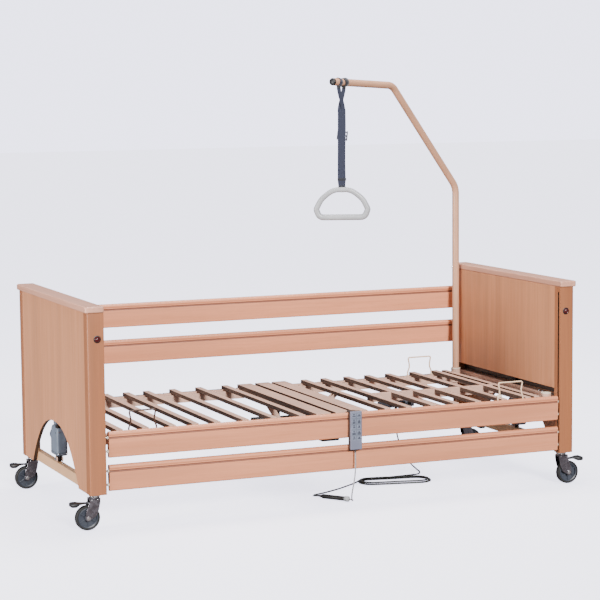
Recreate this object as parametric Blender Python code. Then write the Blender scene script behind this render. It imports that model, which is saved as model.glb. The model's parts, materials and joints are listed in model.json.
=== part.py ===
"""An adjustable home-care bed with wooden end boards, slatted sections, side rails and a lifting pole.

Metres, +Z up. The origin is on the floor under the middle of the bed. The foot end is at -X and the
head end at +X, the near side is at -Y and the far side at +Y. Each sub-part is one named object.
"""

import math

import bpy
import bmesh
from mathutils import Matrix, Vector

# ---- driving dimensions -----------------------------------------------------------------------
GAP = 0.0003  # between pieces that rest on each other
SLIDE_FIT = 0.0006  # a round piece's clearance in its bore
PAST = 0.002  # how far a cutter runs past the face that it cuts
SINK = 0.001  # how far joined shapes reach into each other
BED_LENGTH = 2.18
BED_WIDTH = 1.00
BOARD_BOTTOM = 0.145
BOARD_TOP = 0.867
POST_X = 0.0674  # a post's size along the bed
POST_Y = 0.048
SURFACE_TOP = 0.392  # where the mattress lies
SURFACE_HALF_WIDTH = 0.4505

END_X = BED_LENGTH / 2
SIDE_Y = BED_WIDTH / 2
POST_INNER_X = END_X - POST_X
POST_INNER_Y = SIDE_Y - POST_Y

# end boards
PANEL_THICKNESS = 0.0145
PANEL_RECESS = 0.0015
CLADDING_THICKNESS = 0.010
CLADDING_BOTTOM = 0.424
CAP_HEIGHT = 0.025
CAP_OVERHANG_X = 0.009
CAP_OVERHANG_Y = 0.008
CAP_CORNER = 0.012
CAP_EDGE = 0.004
ARCH_HEIGHT = 0.222
ARCH_HALF_WIDTH = 0.335
ARCH_POWER = 2.4
POST_CORNER = 0.010
GUIDE_SLOT_DEPTH = 0.012
GUIDE_SLOT_Y = 0.4845
GUIDE_SLOT_HALF = 0.005
GUIDE_SLOT_Z = (BOARD_BOTTOM + 0.005, BOARD_TOP - 0.022)

# chassis and lift
CHASSIS_X = 1.0585  # centre of the crossbar, and the castors' swivel axes
CROSSBAR_HALF = 0.013
CROSSBAR_TOP = 0.187
UPRIGHT_X = 1.056
UPRIGHT_Y = 0.476
UPRIGHT_HALF_X = 0.0138
UPRIGHT_HALF_Y = 0.0136
UPRIGHT_TOP = 0.66
POST_CAVITY_HALF = 0.0152
POST_CAVITY_TOP = 0.70
LIFT_X = 1.0545
LIFT_Y = 0.05
LIFT_ROD_RADIUS = 0.009
LIFT_ROD_TOP = 0.655
LIFT_TUBE_RADIUS = 0.014
LIFT_TUBE_Z = (0.330, 0.700)
MOTOR_X = (1.0200, 1.0680)
MOTOR_LENGTH = 0.100  # along the beam
MOTOR_Z = (0.210, 0.335)
BEAM_X = (1.0335, 1.0735)
BEAM_Z = (0.3615, 0.3885)

# castors
CASTOR_Y = 0.45
WHEEL_RADIUS = 0.050
WHEEL_HALF_WIDTH = 0.0125
CASTOR_TRAIL = 0.031
STEM_RADIUS = 0.0052
STEM_TOP = 0.172
AXLE_RADIUS = 0.004
CHEEK_Y = (0.0165, 0.0189)  # a fork cheek's two faces, from the fork's middle
CROWN_TOP = 0.129
PEDAL_PIN_X = 0.0265  # from the swivel axis
PEDAL_PIN_Z = 0.109

# lying surface
SLAT_THICKNESS = 0.0155
SECTION_TOP = SURFACE_TOP - SLAT_THICKNESS  # top of the sections' side bars
SECTION_BOTTOM = 0.352
SECTION_BAR_Y = (0.4285, SURFACE_HALF_WIDTH)
BASE_RAIL_Y = (0.395, 0.418)
BASE_BOTTOM = 0.335
BASE_TOP = 0.372
BASE_END_X = 1.020
BASE_CROSS_MEMBERS = ((-0.075, BASE_TOP - 0.001), (0.095, BASE_TOP - 0.001), (0.555, 0.3500))
CROSS_MEMBER_WIDTH = 0.030
SPINE_Y = (-0.065, -0.040)
SPINE_BOTTOM = 0.3535
TONGUE_Y = (0.27, 0.33)
HINGE_Z = 0.3645
BACK_HINGE_X = 0.175
THIGH_HINGE_X = -0.125
KNEE_HINGE_X = -0.475
PIN_RADIUS = 0.005
EYE_RADIUS = 0.0055
EYE_END = 0.0105  # a bar runs this far past its own hinge
EYE_CLEAR = 0.0175  # and the next bar starts this far from it
CALF_END_X = -0.985
BACK_END_X = 0.955
SLAT_WIDTH = 0.028
SEAT_SLAT_WIDTH = 0.065
CALF_SLATS = (-0.964, -0.855, -0.741, -0.6435, -0.5495)
THIGH_SLATS = (-0.4265, -0.303, -0.177)
SEAT_SLATS = (-0.100, -0.0135, 0.068)
BACK_SLATS = (0.212, 0.310, 0.4255, 0.5315, 0.6385, 0.765, 0.8815)
FOOT_HOOP_X = (-0.908, -0.792)
HEAD_HOOP_X = (0.7525, 0.8750)
HOOP_TOP = 0.462
HOOP_BEND = 0.018
HOOP_RADIUS = 0.0035

# section drives
LEVER = 0.10  # from a hinge to the pin of its lever
LEVER_END = 0.011  # radius round the pin
LEVER_PLATE_Y = (0.0110, 0.0160)  # a lever plate's two faces, from the drive's middle
BACK_SWING = math.radians(70)
THIGH_SWING = math.radians(35)
DRIVE_Y = 0.09
DRIVE_ROD_RADIUS = 0.010
DRIVE_HALF = 0.022
YOKE_HALF_X = 0.013
YOKE_HALF_Y = 0.006
PIN_PLAY = 0.002  # a lever pin's clearance in the rod's slotted end
BACK_DRIVE_LENGTH = 0.250
LEG_DRIVE_LENGTH = 0.210

# side rails
RAIL_X = (-1.009, 1.017)
RAIL_Y = (0.472, 0.497)
RAIL_HEIGHT = 0.1045
RAIL_BEAD = 0.006
RAIL_PIN_INSET = 0.025  # from a rail's edge to its pin
RAIL_PIN_RADIUS = 0.0042
LOW_UPPER_RAIL = 0.2895
LOW_LOWER_RAIL = 0.1565
UPPER_TRAVEL = 0.3905
LOWER_TRAVEL = 0.3635

# release buttons
BUTTON_X = 1.05
BUTTON_Z = 0.763
BUTTON_RADIUS = 0.011
BUTTON_PROUD = 0.008
BUTTON_BORE = 0.016  # depth of its bore in the post
BUTTON_LENGTH = 0.0195

# lifting pole
POLE_X = 0.9975
POLE_Y = 0.425
POLE_RADIUS = 0.016
POLE_FOOT = 0.305
POLE_BEND_LOW = (POLE_X, POLE_Y, 1.254)
POLE_BEND_HIGH = (0.562, 0.200, 1.731)
POLE_TIP = (0.184, 0.002, 1.751)
POLE_BEND_RADIUS = 0.075
SOCKET_RADIUS = 0.0215
SOCKET_TOP = 0.398
STRAP_FROM_TIP = 0.060
STRAP_WIDTH = 0.036
STRAP_THICKNESS = 0.006
STRAP_LOOP = 0.056  # its width round the arm
GRIP_ANGLE = math.radians(-23)
GRIP_TOP = 1.294
GRIP_BOTTOM = 1.150
GRIP_TUBE = 0.0115
GRIP_SIDE = (0.1135, 1.199)  # the widest point of the grip's axis: across, and above the floor
GRIP_SHOULDER = 0.024  # where the axis leaves the flat top
GRIP_CORNER = 0.022
GRIP_BOW = 0.004  # how far the sloping shoulders bow outward

# handset and cords
HANDSET_X = (0.020, 0.072)
HANDSET_Y = 0.5275
HANDSET_Z = (0.243, 0.4035)
HANDSET_CORD = 0.0055
LEAD_CORD = 0.0065
SLEEVE_START = (0.052, -0.393, 0.0125)
SLEEVE_END = (-0.009, -0.294, 0.0100)
HANDSET_ROUTE = [
    (0.046, -0.5135, 0.2300),
    (0.046, -0.5150, 0.2000),
    (0.045, -0.5165, 0.1650),
    (0.040, -0.5190, 0.1250),
    (0.033, -0.5190, 0.0880),
    (0.032, -0.5080, 0.0540),
    (0.042, -0.4850, 0.0290),
    (0.056, -0.4600, 0.0170),
    (0.067, -0.4350, 0.0135),
    (0.0641, -0.4126, 0.0130),
]
LEAD_ROUTE = [
    (-0.0190, -0.2777, 0.0097),
    (-0.0260, -0.2600, 0.0070),
    (-0.0250, -0.2400, 0.0040),
    (-0.0120, -0.2250, 0.0036),
    (0.0200, -0.2140, 0.0036),
    (0.0700, -0.1900, 0.0036),
    (0.1370, -0.1500, 0.0036),
    (0.2000, -0.1050, 0.0036),
    (0.2420, -0.0800, 0.0060),
]
HANK_CENTRE = (0.421, -0.103)
HANK_LENGTH = 0.345
HANK_WIDTH = 0.150
HANK_HEIGHT = 0.032
HANK_ANGLE = math.radians(-12)
RISER_ROUTE = [
    (0.560, -0.040, 0.0100),
    (0.590, -0.005, 0.0050),
    (0.615, 0.040, 0.0040),
    (0.622, 0.090, 0.0080),
    (0.612, 0.135, 0.0300),
    (0.592, 0.166, 0.0800),
    (0.576, 0.183, 0.1400),
    (0.570, 0.190, 0.2000),
    (0.570, 0.190, 0.2450),
    (0.570, 0.190, 0.2640),
]
CONTROL_BOX = ((0.500, 0.140, 0.285), (0.640, 0.240, BASE_BOTTOM - GAP))
CORD_STEP = 2.5  # diameters between a cord's points


# ---- materials --------------------------------------------------------------------------------
def material(name, colour, roughness, metallic=0.0):
    made = bpy.data.materials.new(name)
    made.use_nodes = True
    shader = made.node_tree.nodes["Principled BSDF"]
    shader.inputs["Base Color"].default_value = (*colour, 1.0)
    shader.inputs["Roughness"].default_value = roughness
    shader.inputs["Metallic"].default_value = metallic
    return made


# ---- modelling helpers ------------------------------------------------------------------------
def new_object(name, shape):
    """An object from a bmesh, with its faces turned outward."""
    bmesh.ops.recalc_face_normals(shape, faces=shape.faces)
    mesh = bpy.data.meshes.new(name)
    shape.to_mesh(mesh)
    shape.free()
    made = bpy.data.objects.new(name, mesh)
    bpy.context.scene.collection.objects.link(made)
    return made


def block(low, high, name="block"):
    """A box between two corners, given in any order."""
    shape = bmesh.new()
    bmesh.ops.create_cube(shape, size=1.0)
    middle = [(a + b) / 2 for a, b in zip(low, high)]
    size = [abs(b - a) for a, b in zip(low, high)]
    bmesh.ops.scale(shape, vec=size, verts=shape.verts)
    bmesh.ops.translate(shape, vec=middle, verts=shape.verts)
    return new_object(name, shape)


def prism(outline, axis, low, high, name="prism"):
    """A flat outline pushed from low to high along an axis. Its points are the other two coordinates."""
    shape = bmesh.new()
    rings = []
    for level in (low, high):
        ring = []
        for first, second in outline:
            place = {
                "X": (level, first, second),
                "Y": (first, level, second),
                "Z": (first, second, level),
            }[axis]
            ring.append(shape.verts.new(place))
        shape.faces.new(ring)
        rings.append(ring)
    count = len(outline)
    for i in range(count):
        j = (i + 1) % count
        shape.faces.new((rings[0][i], rings[0][j], rings[1][j], rings[1][i]))
    return new_object(name, shape)


def turned(profile, origin, direction, sides, name="turned"):
    """A profile of (radius, height) turned round a direction. Without points at radius 0 it is a ring."""
    shape = bmesh.new()
    rings = []
    for radius, height in profile:
        if radius == 0:
            rings.append([shape.verts.new((0, 0, height))])
            continue
        ring = []
        for i in range(sides):
            angle = math.tau * i / sides
            place = (radius * math.cos(angle), radius * math.sin(angle), height)
            ring.append(shape.verts.new(place))
        rings.append(ring)
    pairs = list(zip(rings, rings[1:]))
    if len(rings[0]) > 1:
        pairs.append((rings[-1], rings[0]))
    for a, b in pairs:
        for i in range(sides):
            j = (i + 1) % sides
            corners = [a[i % len(a)], a[j % len(a)], b[j % len(b)], b[i % len(b)]]
            shape.faces.new(list(dict.fromkeys(corners)))
    turn = Vector(direction).to_track_quat("Z", "Y").to_matrix().to_4x4()
    bmesh.ops.transform(shape, matrix=Matrix.Translation(origin) @ turn, verts=shape.verts)
    return new_object(name, shape)


def cylinder(start, end, radius, sides=20, name="cylinder"):
    along = Vector(end) - Vector(start)
    profile = [(0, 0), (radius, 0), (radius, along.length), (0, along.length)]
    return turned(profile, start, along, sides, name)


def combine(target, others, operation):
    """Joins the others to the target, or cuts them from it, and removes them."""
    for other in others:
        step = target.modifiers.new(operation, "BOOLEAN")
        step.operation = operation
        step.object = other
        graph = bpy.context.evaluated_depsgraph_get()
        result = bpy.data.meshes.new_from_object(target.evaluated_get(graph))
        target.modifiers.clear()
        target.data = result
        bpy.data.objects.remove(other)
        clean = bmesh.new()
        clean.from_mesh(result)
        bmesh.ops.remove_doubles(clean, verts=clean.verts, dist=0.000002)
        clean.to_mesh(result)
        clean.free()
    return target


def join(first, *others):
    return combine(first, others, "UNION")


def cut(target, *cutters):
    return combine(target, cutters, "DIFFERENCE")


def finish(made, name, skin, pivot=(0, 0, 0), smooth=False):
    """Names a piece, puts its origin on its joint's axis and gives it its material."""
    made.name = name
    made.data.name = name
    made.data.transform(Matrix.Translation(-Vector(pivot)))
    made.location = pivot
    made.data.materials.clear()
    made.data.materials.append(skin)
    if smooth:
        made.data.shade_smooth()
        made.data.set_sharp_from_angle(angle=math.radians(35))
    return made


def arc(centre, radius, start, end, steps):
    """Points on an arc in a plane, with the angles in degrees."""
    points = []
    for i in range(steps + 1):
        angle = math.radians(start + (end - start) * i / steps)
        points.append((centre[0] + radius * math.cos(angle), centre[1] + radius * math.sin(angle)))
    return points


def rounded_box_outline(low, high, radius, steps=3):
    """A rectangle with round corners, as points in a plane."""
    (u0, v0), (u1, v1) = low, high
    corners = [
        ((u1 - radius, v0 + radius), -90),
        ((u1 - radius, v1 - radius), 0),
        ((u0 + radius, v1 - radius), 90),
        ((u0 + radius, v0 + radius), 180),
    ]
    points = []
    for centre, start in corners:
        points += arc(centre, radius, start, start + 90, steps)
    return points


def rounded_route(corners, radius, steps):
    """A polyline with each inner corner turned into an arc."""
    corners = [Vector(c) for c in corners]
    points = [corners[0]]
    for before, corner, after in zip(corners, corners[1:], corners[2:]):
        back = (before - corner).normalized()
        ahead = (after - corner).normalized()
        half = back.angle(ahead) / 2
        reach = radius / math.tan(half)
        centre = corner + (back + ahead).normalized() * (radius / math.sin(half))
        first = corner + back * reach - centre
        last = corner + ahead * reach - centre
        for i in range(steps + 1):
            turn = Matrix.Rotation(first.angle(last) * i / steps, 3, first.cross(last))
            points.append(centre + turn @ first)
    points.append(corners[-1])
    return points


def smooth_route(points, spacing):
    """Evenly spaced points on a smooth curve through the given ones."""
    points = [Vector(p) for p in points]
    padded = [2 * points[0] - points[1], *points, 2 * points[-1] - points[-2]]
    fine = []
    for a, b, c, d in zip(padded, padded[1:], padded[2:], padded[3:]):
        for i in range(20):
            t = i / 20
            fine.append(
                0.5 * (2 * b + (c - a) * t + (2 * a - 5 * b + 4 * c - d) * t * t
                       + (3 * b - a - 3 * c + d) * t ** 3)
            )
    fine.append(points[-1])
    lengths = [0.0]
    for a, b in zip(fine, fine[1:]):
        lengths.append(lengths[-1] + (b - a).length)
    count = max(2, round(lengths[-1] / spacing))
    result = []
    k = 0
    for i in range(count + 1):
        wanted = lengths[-1] * i / count
        while k < len(fine) - 2 and lengths[k + 1] < wanted:
            k += 1
        share = (wanted - lengths[k]) / max(lengths[k + 1] - lengths[k], 1e-9)
        result.append(fine[k].lerp(fine[k + 1], min(1.0, share)))
    return result


def tube(name, points, radius, skin, pivot=(0, 0, 0), resolution=2, closed=False):
    """A round tube along points, as a curve object."""
    curve = bpy.data.curves.new(name, "CURVE")
    curve.dimensions = "3D"
    curve.bevel_depth = radius
    curve.bevel_resolution = resolution
    curve.use_fill_caps = True
    spline = curve.splines.new("POLY")
    spline.points.add(len(points) - 1)
    for point, place in zip(spline.points, points):
        point.co = (*(Vector(place) - Vector(pivot)), 1.0)
    spline.use_cyclic_u = closed
    made = bpy.data.objects.new(name, curve)
    made.location = pivot
    curve.materials.append(skin)
    bpy.context.scene.collection.objects.link(made)
    return made


# ---- end boards -------------------------------------------------------------------------------
def upright_block(end, side, half_x, half_y, low, high):
    """A square bar on the axis of a chassis upright."""
    return block(
        (end * (UPRIGHT_X - half_x), side * (UPRIGHT_Y - half_y), low),
        (end * (UPRIGHT_X + half_x), side * (UPRIGHT_Y + half_y), high),
    )


def build_post(name, end, side, wood):
    """A hollow corner post: it slides on the chassis upright and guides the rails' end pins."""
    low = (POST_INNER_X, POST_INNER_Y)
    outline = [low, (END_X, low[1])]
    outline += arc((END_X - POST_CORNER, SIDE_Y - POST_CORNER), POST_CORNER, 0, 90, 4)
    outline.append((POST_INNER_X, SIDE_Y))
    outline = [(end * x, side * y) for x, y in outline]
    post = prism(outline, "Z", BOARD_BOTTOM, BOARD_TOP)
    below = BOARD_BOTTOM - PAST
    cavity = upright_block(end, side, POST_CAVITY_HALF, POST_CAVITY_HALF, below, POST_CAVITY_TOP)
    notch = block(
        (end * (CHASSIS_X - CROSSBAR_HALF - 0.0015), side * (POST_INNER_Y - PAST), below),
        (end * (CHASSIS_X + CROSSBAR_HALF + 0.0012), side * UPRIGHT_Y, CROSSBAR_TOP + 0.0015),
    )
    slot_low = side * (GUIDE_SLOT_Y - GUIDE_SLOT_HALF)
    slot_high = side * (GUIDE_SLOT_Y + GUIDE_SLOT_HALF)
    slot = block(
        (end * (POST_INNER_X - PAST), slot_low, GUIDE_SLOT_Z[0]),
        (end * (POST_INNER_X + GUIDE_SLOT_DEPTH), slot_high, GUIDE_SLOT_Z[1]),
    )
    bore = cylinder(
        (end * BUTTON_X, side * (SIDE_Y - BUTTON_BORE), BUTTON_Z),
        (end * BUTTON_X, side * (SIDE_Y + PAST), BUTTON_Z),
        BUTTON_RADIUS + SLIDE_FIT,
    )
    finish(cut(post, cavity, notch, slot, bore), name, wood)


def build_panel(name, end, wood):
    """The outer panel, with the arch cut in its lower edge."""
    half = POST_INNER_Y - GAP
    outline = [(-half, BOARD_TOP), (-half, BOARD_BOTTOM)]
    steps = 24
    for i in range(steps + 1):
        share = -math.cos(math.pi * i / steps)
        y = ARCH_HALF_WIDTH * share
        outline.append((y, BOARD_BOTTOM + ARCH_HEIGHT * (1 - abs(share) ** ARCH_POWER)))
    outline += [(half, BOARD_BOTTOM), (half, BOARD_TOP)]
    outer = END_X - PANEL_RECESS
    finish(prism(outline, "X", end * (outer - PANEL_THICKNESS), end * outer), name, wood)


def build_cladding(name, end, wood):
    """The inner panel above the lying surface."""
    half = POST_INNER_Y - GAP
    inner = POST_INNER_X + GAP
    finish(
        block(
            (end * inner, -half, CLADDING_BOTTOM),
            (end * (inner + CLADDING_THICKNESS), half, BOARD_TOP),
        ),
        name,
        wood,
    )


def build_cap(name, end, wood):
    """The top cap, with rounded edges and outer corners."""
    outer_x = END_X + CAP_OVERHANG_X
    outer_y = SIDE_Y + CAP_OVERHANG_Y
    corner_x = outer_x - CAP_CORNER
    corner_y = outer_y - CAP_CORNER
    outline = [(POST_INNER_X, -outer_y)]
    outline += arc((corner_x, -corner_y), CAP_CORNER, -90, 0, 4)
    outline += arc((corner_x, corner_y), CAP_CORNER, 0, 90, 4)
    outline.append((POST_INNER_X, outer_y))
    outline = [(end * x, y) for x, y in outline]
    cap = prism(outline, "Z", BOARD_TOP + GAP, BOARD_TOP + CAP_HEIGHT)
    edges = cap.modifiers.new("edges", "BEVEL")
    edges.width = CAP_EDGE
    edges.segments = 2
    edges.limit_method = "ANGLE"
    edges.angle_limit = math.radians(40)
    finish(cap, name, wood)


def build_button(name, end, side, plastic):
    """A round release button that is pushed inward."""
    dome = 0.003
    profile = [
        (0, 0),
        (BUTTON_RADIUS, 0),
        (BUTTON_RADIUS, BUTTON_LENGTH - dome),
        (BUTTON_RADIUS * 0.8, BUTTON_LENGTH - dome / 4),
        (0, BUTTON_LENGTH),
    ]
    place = (end * BUTTON_X, side * (SIDE_Y + BUTTON_PROUD - BUTTON_LENGTH), BUTTON_Z)
    finish(turned(profile, place, (0, side, 0), 20), name, plastic, place, smooth=True)


# ---- chassis, lift and castors ----------------------------------------------------------------
def build_chassis(name, end, steel):
    """A crossbar with two upright guide tubes, which stands on two castors."""
    reach = UPRIGHT_Y - 0.004  # the crossbar ends inside the uprights
    frame = block(
        (end * (CHASSIS_X - CROSSBAR_HALF), -reach, BOARD_BOTTOM + GAP),
        (end * (CHASSIS_X + CROSSBAR_HALF), reach, CROSSBAR_TOP),
    )
    for side in (-1, 1):
        upright = upright_block(end, side, UPRIGHT_HALF_X, UPRIGHT_HALF_Y, BOARD_BOTTOM + SINK, UPRIGHT_TOP)
        bore = cylinder(
            (end * CHASSIS_X, side * CASTOR_Y, BOARD_BOTTOM - PAST),
            (end * CHASSIS_X, side * CASTOR_Y, STEM_TOP + 0.004),
            STEM_RADIUS + SLIDE_FIT,
            16,
        )
        join(frame, upright)
        cut(frame, bore)
    finish(frame, name, steel)


def build_lift_rod(name, end, steel):
    """The spindle's inner tube, which stands on the crossbar."""
    x, y = end * LIFT_X, -end * LIFT_Y
    rod = cylinder((x, y, CROSSBAR_TOP + GAP), (x, y, LIFT_ROD_TOP), LIFT_ROD_RADIUS, 16)
    finish(rod, name, steel, smooth=True)


def build_lift_motor(name, end, plastic):
    """The geared motor with its outer tube, which rises with the end board."""
    turn = -end  # the unit at the head end is the foot end's, turned half round
    near = LIFT_Y - 0.016
    far = near + MOTOR_LENGTH
    outline = rounded_box_outline((MOTOR_X[0], near), (MOTOR_X[1], far), 0.012)
    outline = [(end * x, turn * y) for x, y in outline]
    motor = prism(outline, "Z", *MOTOR_Z)
    bulge = block((end * 1.0300, turn * (far - 0.005), 0.265), (end * 1.0600, turn * (far + 0.009), 0.315))
    x, y = end * LIFT_X, turn * LIFT_Y
    low, high = LIFT_TUBE_Z
    outer = cylinder((x, y, low), (x, y, high), LIFT_TUBE_RADIUS, 20)
    flange = 0.018
    collar = block((x - flange, y - flange, 0.345), (x + flange, y + flange, BEAM_Z[0] - GAP))
    bore = cylinder((x, y, MOTOR_Z[0] - PAST), (x, y, high - 0.030), LIFT_ROD_RADIUS + SLIDE_FIT, 16)
    finish(cut(join(motor, bulge, outer, collar), bore), name, plastic)


def build_fork(name, end, side, steel):
    """A castor's swivel fork with its stem, bearing head, crown, cheeks and axle."""
    x, y = end * CHASSIS_X, side * CASTOR_Y
    wide, narrow = 0.0225, 0.0190  # radii of the bearing head
    top = BOARD_BOTTOM - 0.0004
    head_profile = [(0, 0.1265), (narrow, 0.1265), (wide, 0.1310), (wide, 0.1400), (narrow, top), (0, top)]
    fork = turned(head_profile, (x, y, 0), (0, 0, 1), 16)
    stem = cylinder((x, y, 0.1400), (x, y, STEM_TOP), STEM_RADIUS, 10)
    crown = block((x - end * 0.019, y - narrow, 0.1200), (x + end * 0.025, y + narrow, CROWN_TOP))
    join(fork, stem, crown)
    cheek_top = CROWN_TOP - 0.0005
    cheek_low = 0.1120
    outline = [(-0.0185, cheek_top), (-0.0185, cheek_low)]
    outline += arc((CASTOR_TRAIL, WHEEL_RADIUS), 0.0115, 200, 380, 4)
    outline += [(0.0245, cheek_low), (0.0245, cheek_top)]
    outline = [(x + end * a, b) for a, b in outline]
    for cheek in (-1, 1):
        plate = prism(outline, "Y", y + cheek * CHEEK_Y[0], y + cheek * CHEEK_Y[1])
        join(fork, plate)
    axle_x = x + end * CASTOR_TRAIL
    reach = CHEEK_Y[1] + 0.0026
    axle = cylinder((axle_x, y - reach, WHEEL_RADIUS), (axle_x, y + reach, WHEEL_RADIUS), AXLE_RADIUS, 10)
    finish(join(fork, axle), name, steel, (x, y, BOARD_BOTTOM))


def build_wheel(name, end, side, rubber):
    """A wheel with a rounded tread, a dished hub and an axle bore."""
    half = WHEEL_HALF_WIDTH
    dish = 0.003
    outward = [
        (WHEEL_RADIUS, half - 0.004),
        (0.0410, half),
        (0.0370, half - dish),
        (0.0150, half - dish),
        (0.0120, half + 0.001),
        (AXLE_RADIUS + 0.0004, half + 0.001),
    ]
    profile = [(radius, -height) for radius, height in reversed(outward)] + outward
    centre = (end * (CHASSIS_X + CASTOR_TRAIL), side * CASTOR_Y, WHEEL_RADIUS)
    finish(turned(profile, centre, (0, 1, 0), 20), name, rubber, centre, smooth=True)


def build_pedal(name, end, side, plastic):
    """The brake pedal, hinged between the fork's cheeks over the wheel."""
    x, y = end * CHASSIS_X, side * CASTOR_Y
    lever = block((x + end * 0.0205, y - 0.0148, 0.1062), (x + end * 0.0820, y + 0.0148, 0.1112))
    pad = block((x + end * 0.0720, y - 0.0215, 0.1040), (x + end * 0.1010, y + 0.0215, 0.1160))
    pivot = (x + end * PEDAL_PIN_X, y, PEDAL_PIN_Z)
    reach = Vector((0, CHEEK_Y[0] - 0.0005, 0))
    pin = cylinder(Vector(pivot) - reach, Vector(pivot) + reach, 0.0035, 10)
    finish(join(lever, pad, pin), name, plastic, pivot)


# ---- lying surface ----------------------------------------------------------------------------
def build_beam(name, end, steel):
    """The cross beam that carries the board and one end of the base frame."""
    half = POST_INNER_Y - GAP
    beam = block((end * BEAM_X[0], -half, BEAM_Z[0]), (end * BEAM_X[1], half, BEAM_Z[1]))
    for side in (-1, 1):
        tongue = block(
            (end * (BASE_END_X + GAP), side * TONGUE_Y[0], 0.350),
            (end * 1.060, side * TONGUE_Y[1], 0.370),
        )
        join(beam, tongue)
    y = -end * LIFT_Y
    hole = cylinder(
        (end * LIFT_X, y, BEAM_Z[0] - PAST),
        (end * LIFT_X, y, BEAM_Z[1] + PAST),
        LIFT_TUBE_RADIUS + SLIDE_FIT,
        20,
    )
    finish(cut(beam, hole), name, steel)


def slat(x, width, bottom, half_width=SURFACE_HALF_WIDTH - 0.0005):
    return block((x, -half_width, bottom), (x + width, half_width, SURFACE_TOP))


def side_bars(low, high):
    """The two side bars of a section."""
    inner, outer = SECTION_BAR_Y
    return [
        block((low, side * inner, SECTION_BOTTOM), (high, side * outer, SECTION_TOP))
        for side in (-1, 1)
    ]


def hinge_eyes(x):
    """Cutters for the eyes in both side bars."""
    inner, outer = SECTION_BAR_Y[0] - PAST, SECTION_BAR_Y[1] + PAST
    return [
        cylinder((x, side * inner, HINGE_Z), (x, side * outer, HINGE_Z), EYE_RADIUS, 16)
        for side in (-1, 1)
    ]


def hinge_pins(x, start):
    """Pins that reach from a frame into the eyes of the next one."""
    stop = SECTION_BAR_Y[1] - 0.0035
    return [
        cylinder((x, side * start, HINGE_Z), (x, side * stop, HINGE_Z), PIN_RADIUS, 16)
        for side in (-1, 1)
    ]


def build_base_frame(name, steel):
    """The fixed frame with the seat's slats, the hinge pins and the pole's sockets."""
    half = SURFACE_HALF_WIDTH - SINK
    end_bar = 0.025
    frame = block((-BASE_END_X, -half, BASE_BOTTOM), (end_bar - BASE_END_X, half, BASE_TOP))
    parts = [block((BASE_END_X - end_bar, -half, BASE_BOTTOM), (BASE_END_X, half, BASE_TOP))]
    inner, outer = BASE_RAIL_Y
    reach = BASE_END_X - 0.015
    middle = (inner + outer) / 2
    for side in (-1, 1):
        low = (-reach, side * inner, BASE_BOTTOM + SINK)
        parts.append(block(low, (reach, side * outer, BASE_TOP - SINK / 2)))
    for x, top in BASE_CROSS_MEMBERS:
        low = (x, -middle, BASE_BOTTOM + SINK / 2)
        parts.append(block(low, (x + CROSS_MEMBER_WIDTH, middle, top)))
    join(frame, *parts)
    seat = side_bars(THIGH_HINGE_X + EYE_CLEAR, BACK_HINGE_X - EYE_CLEAR)
    seat += [slat(x, SEAT_SLAT_WIDTH, BASE_TOP - 2 * SINK) for x in SEAT_SLATS]
    seat += hinge_pins(THIGH_HINGE_X, middle)
    seat += hinge_pins(BACK_HINGE_X, middle)
    join(frame, *seat)
    sockets = []
    bores = []
    for side in (-1, 1):
        axis = (POLE_X, side * POLE_Y)
        sockets.append(cylinder((*axis, POLE_FOOT - 0.009), (*axis, SOCKET_TOP), SOCKET_RADIUS, 24))
        bore_low = (*axis, POLE_FOOT - GAP)
        bores.append(cylinder(bore_low, (*axis, SOCKET_TOP + PAST), POLE_RADIUS + SLIDE_FIT, 24))
    join(frame, *sockets)
    finish(cut(frame, *bores), name, steel)


def lever_parts(hinge_x, toward, swing, slat_x, y):
    """Two lever plates under a slat and the pin between them. Toward is -1 where the pin starts at -X."""
    tip_x = hinge_x + toward * LEVER * math.sin(swing / 2)
    tip_z = HINGE_Z - LEVER * math.cos(swing / 2)
    top = SECTION_TOP + 0.004
    shoulders = [(slat_x + 2 * SINK, top), (slat_x + SLAT_WIDTH - 2 * SINK, top)]
    if toward < 0:
        outline = shoulders + arc((tip_x, tip_z), LEVER_END, 330, 150, 5)
    else:
        outline = shoulders[::-1] + arc((tip_x, tip_z), LEVER_END, 210, 390, 5)
    inner, outer = LEVER_PLATE_Y
    parts = [prism(outline, "Y", y + side * inner, y + side * outer) for side in (-1, 1)]
    reach = outer + 0.0015
    parts.append(cylinder((tip_x, y - reach, tip_z), (tip_x, y + reach, tip_z), PIN_RADIUS, 14))
    return parts


def build_back_section(name, steel):
    """The backrest's frame with its slats, spine and lever."""
    low, high = BACK_HINGE_X - EYE_END, BACK_END_X
    bars = side_bars(low, high)
    frame = bars[0]
    parts = [bars[1]]
    parts += [slat(x, SLAT_WIDTH, SECTION_TOP - SINK) for x in BACK_SLATS]
    middle = sum(SECTION_BAR_Y) / 2
    end_low = (high - 0.024, -middle, SECTION_TOP - 0.003)
    parts.append(block(end_low, (high - SINK, middle, SURFACE_TOP - GAP)))
    spine_low = (BACK_SLATS[1] + 0.01, SPINE_Y[0], SPINE_BOTTOM)
    parts.append(block(spine_low, (high - 0.01, SPINE_Y[1], SURFACE_TOP - SINK)))
    join(frame, *parts)
    join(frame, *lever_parts(BACK_HINGE_X, -1, BACK_SWING, BACK_SLATS[0], DRIVE_Y))
    finish(cut(frame, *hinge_eyes(BACK_HINGE_X)), name, steel, (BACK_HINGE_X, 0, HINGE_Z))


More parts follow.
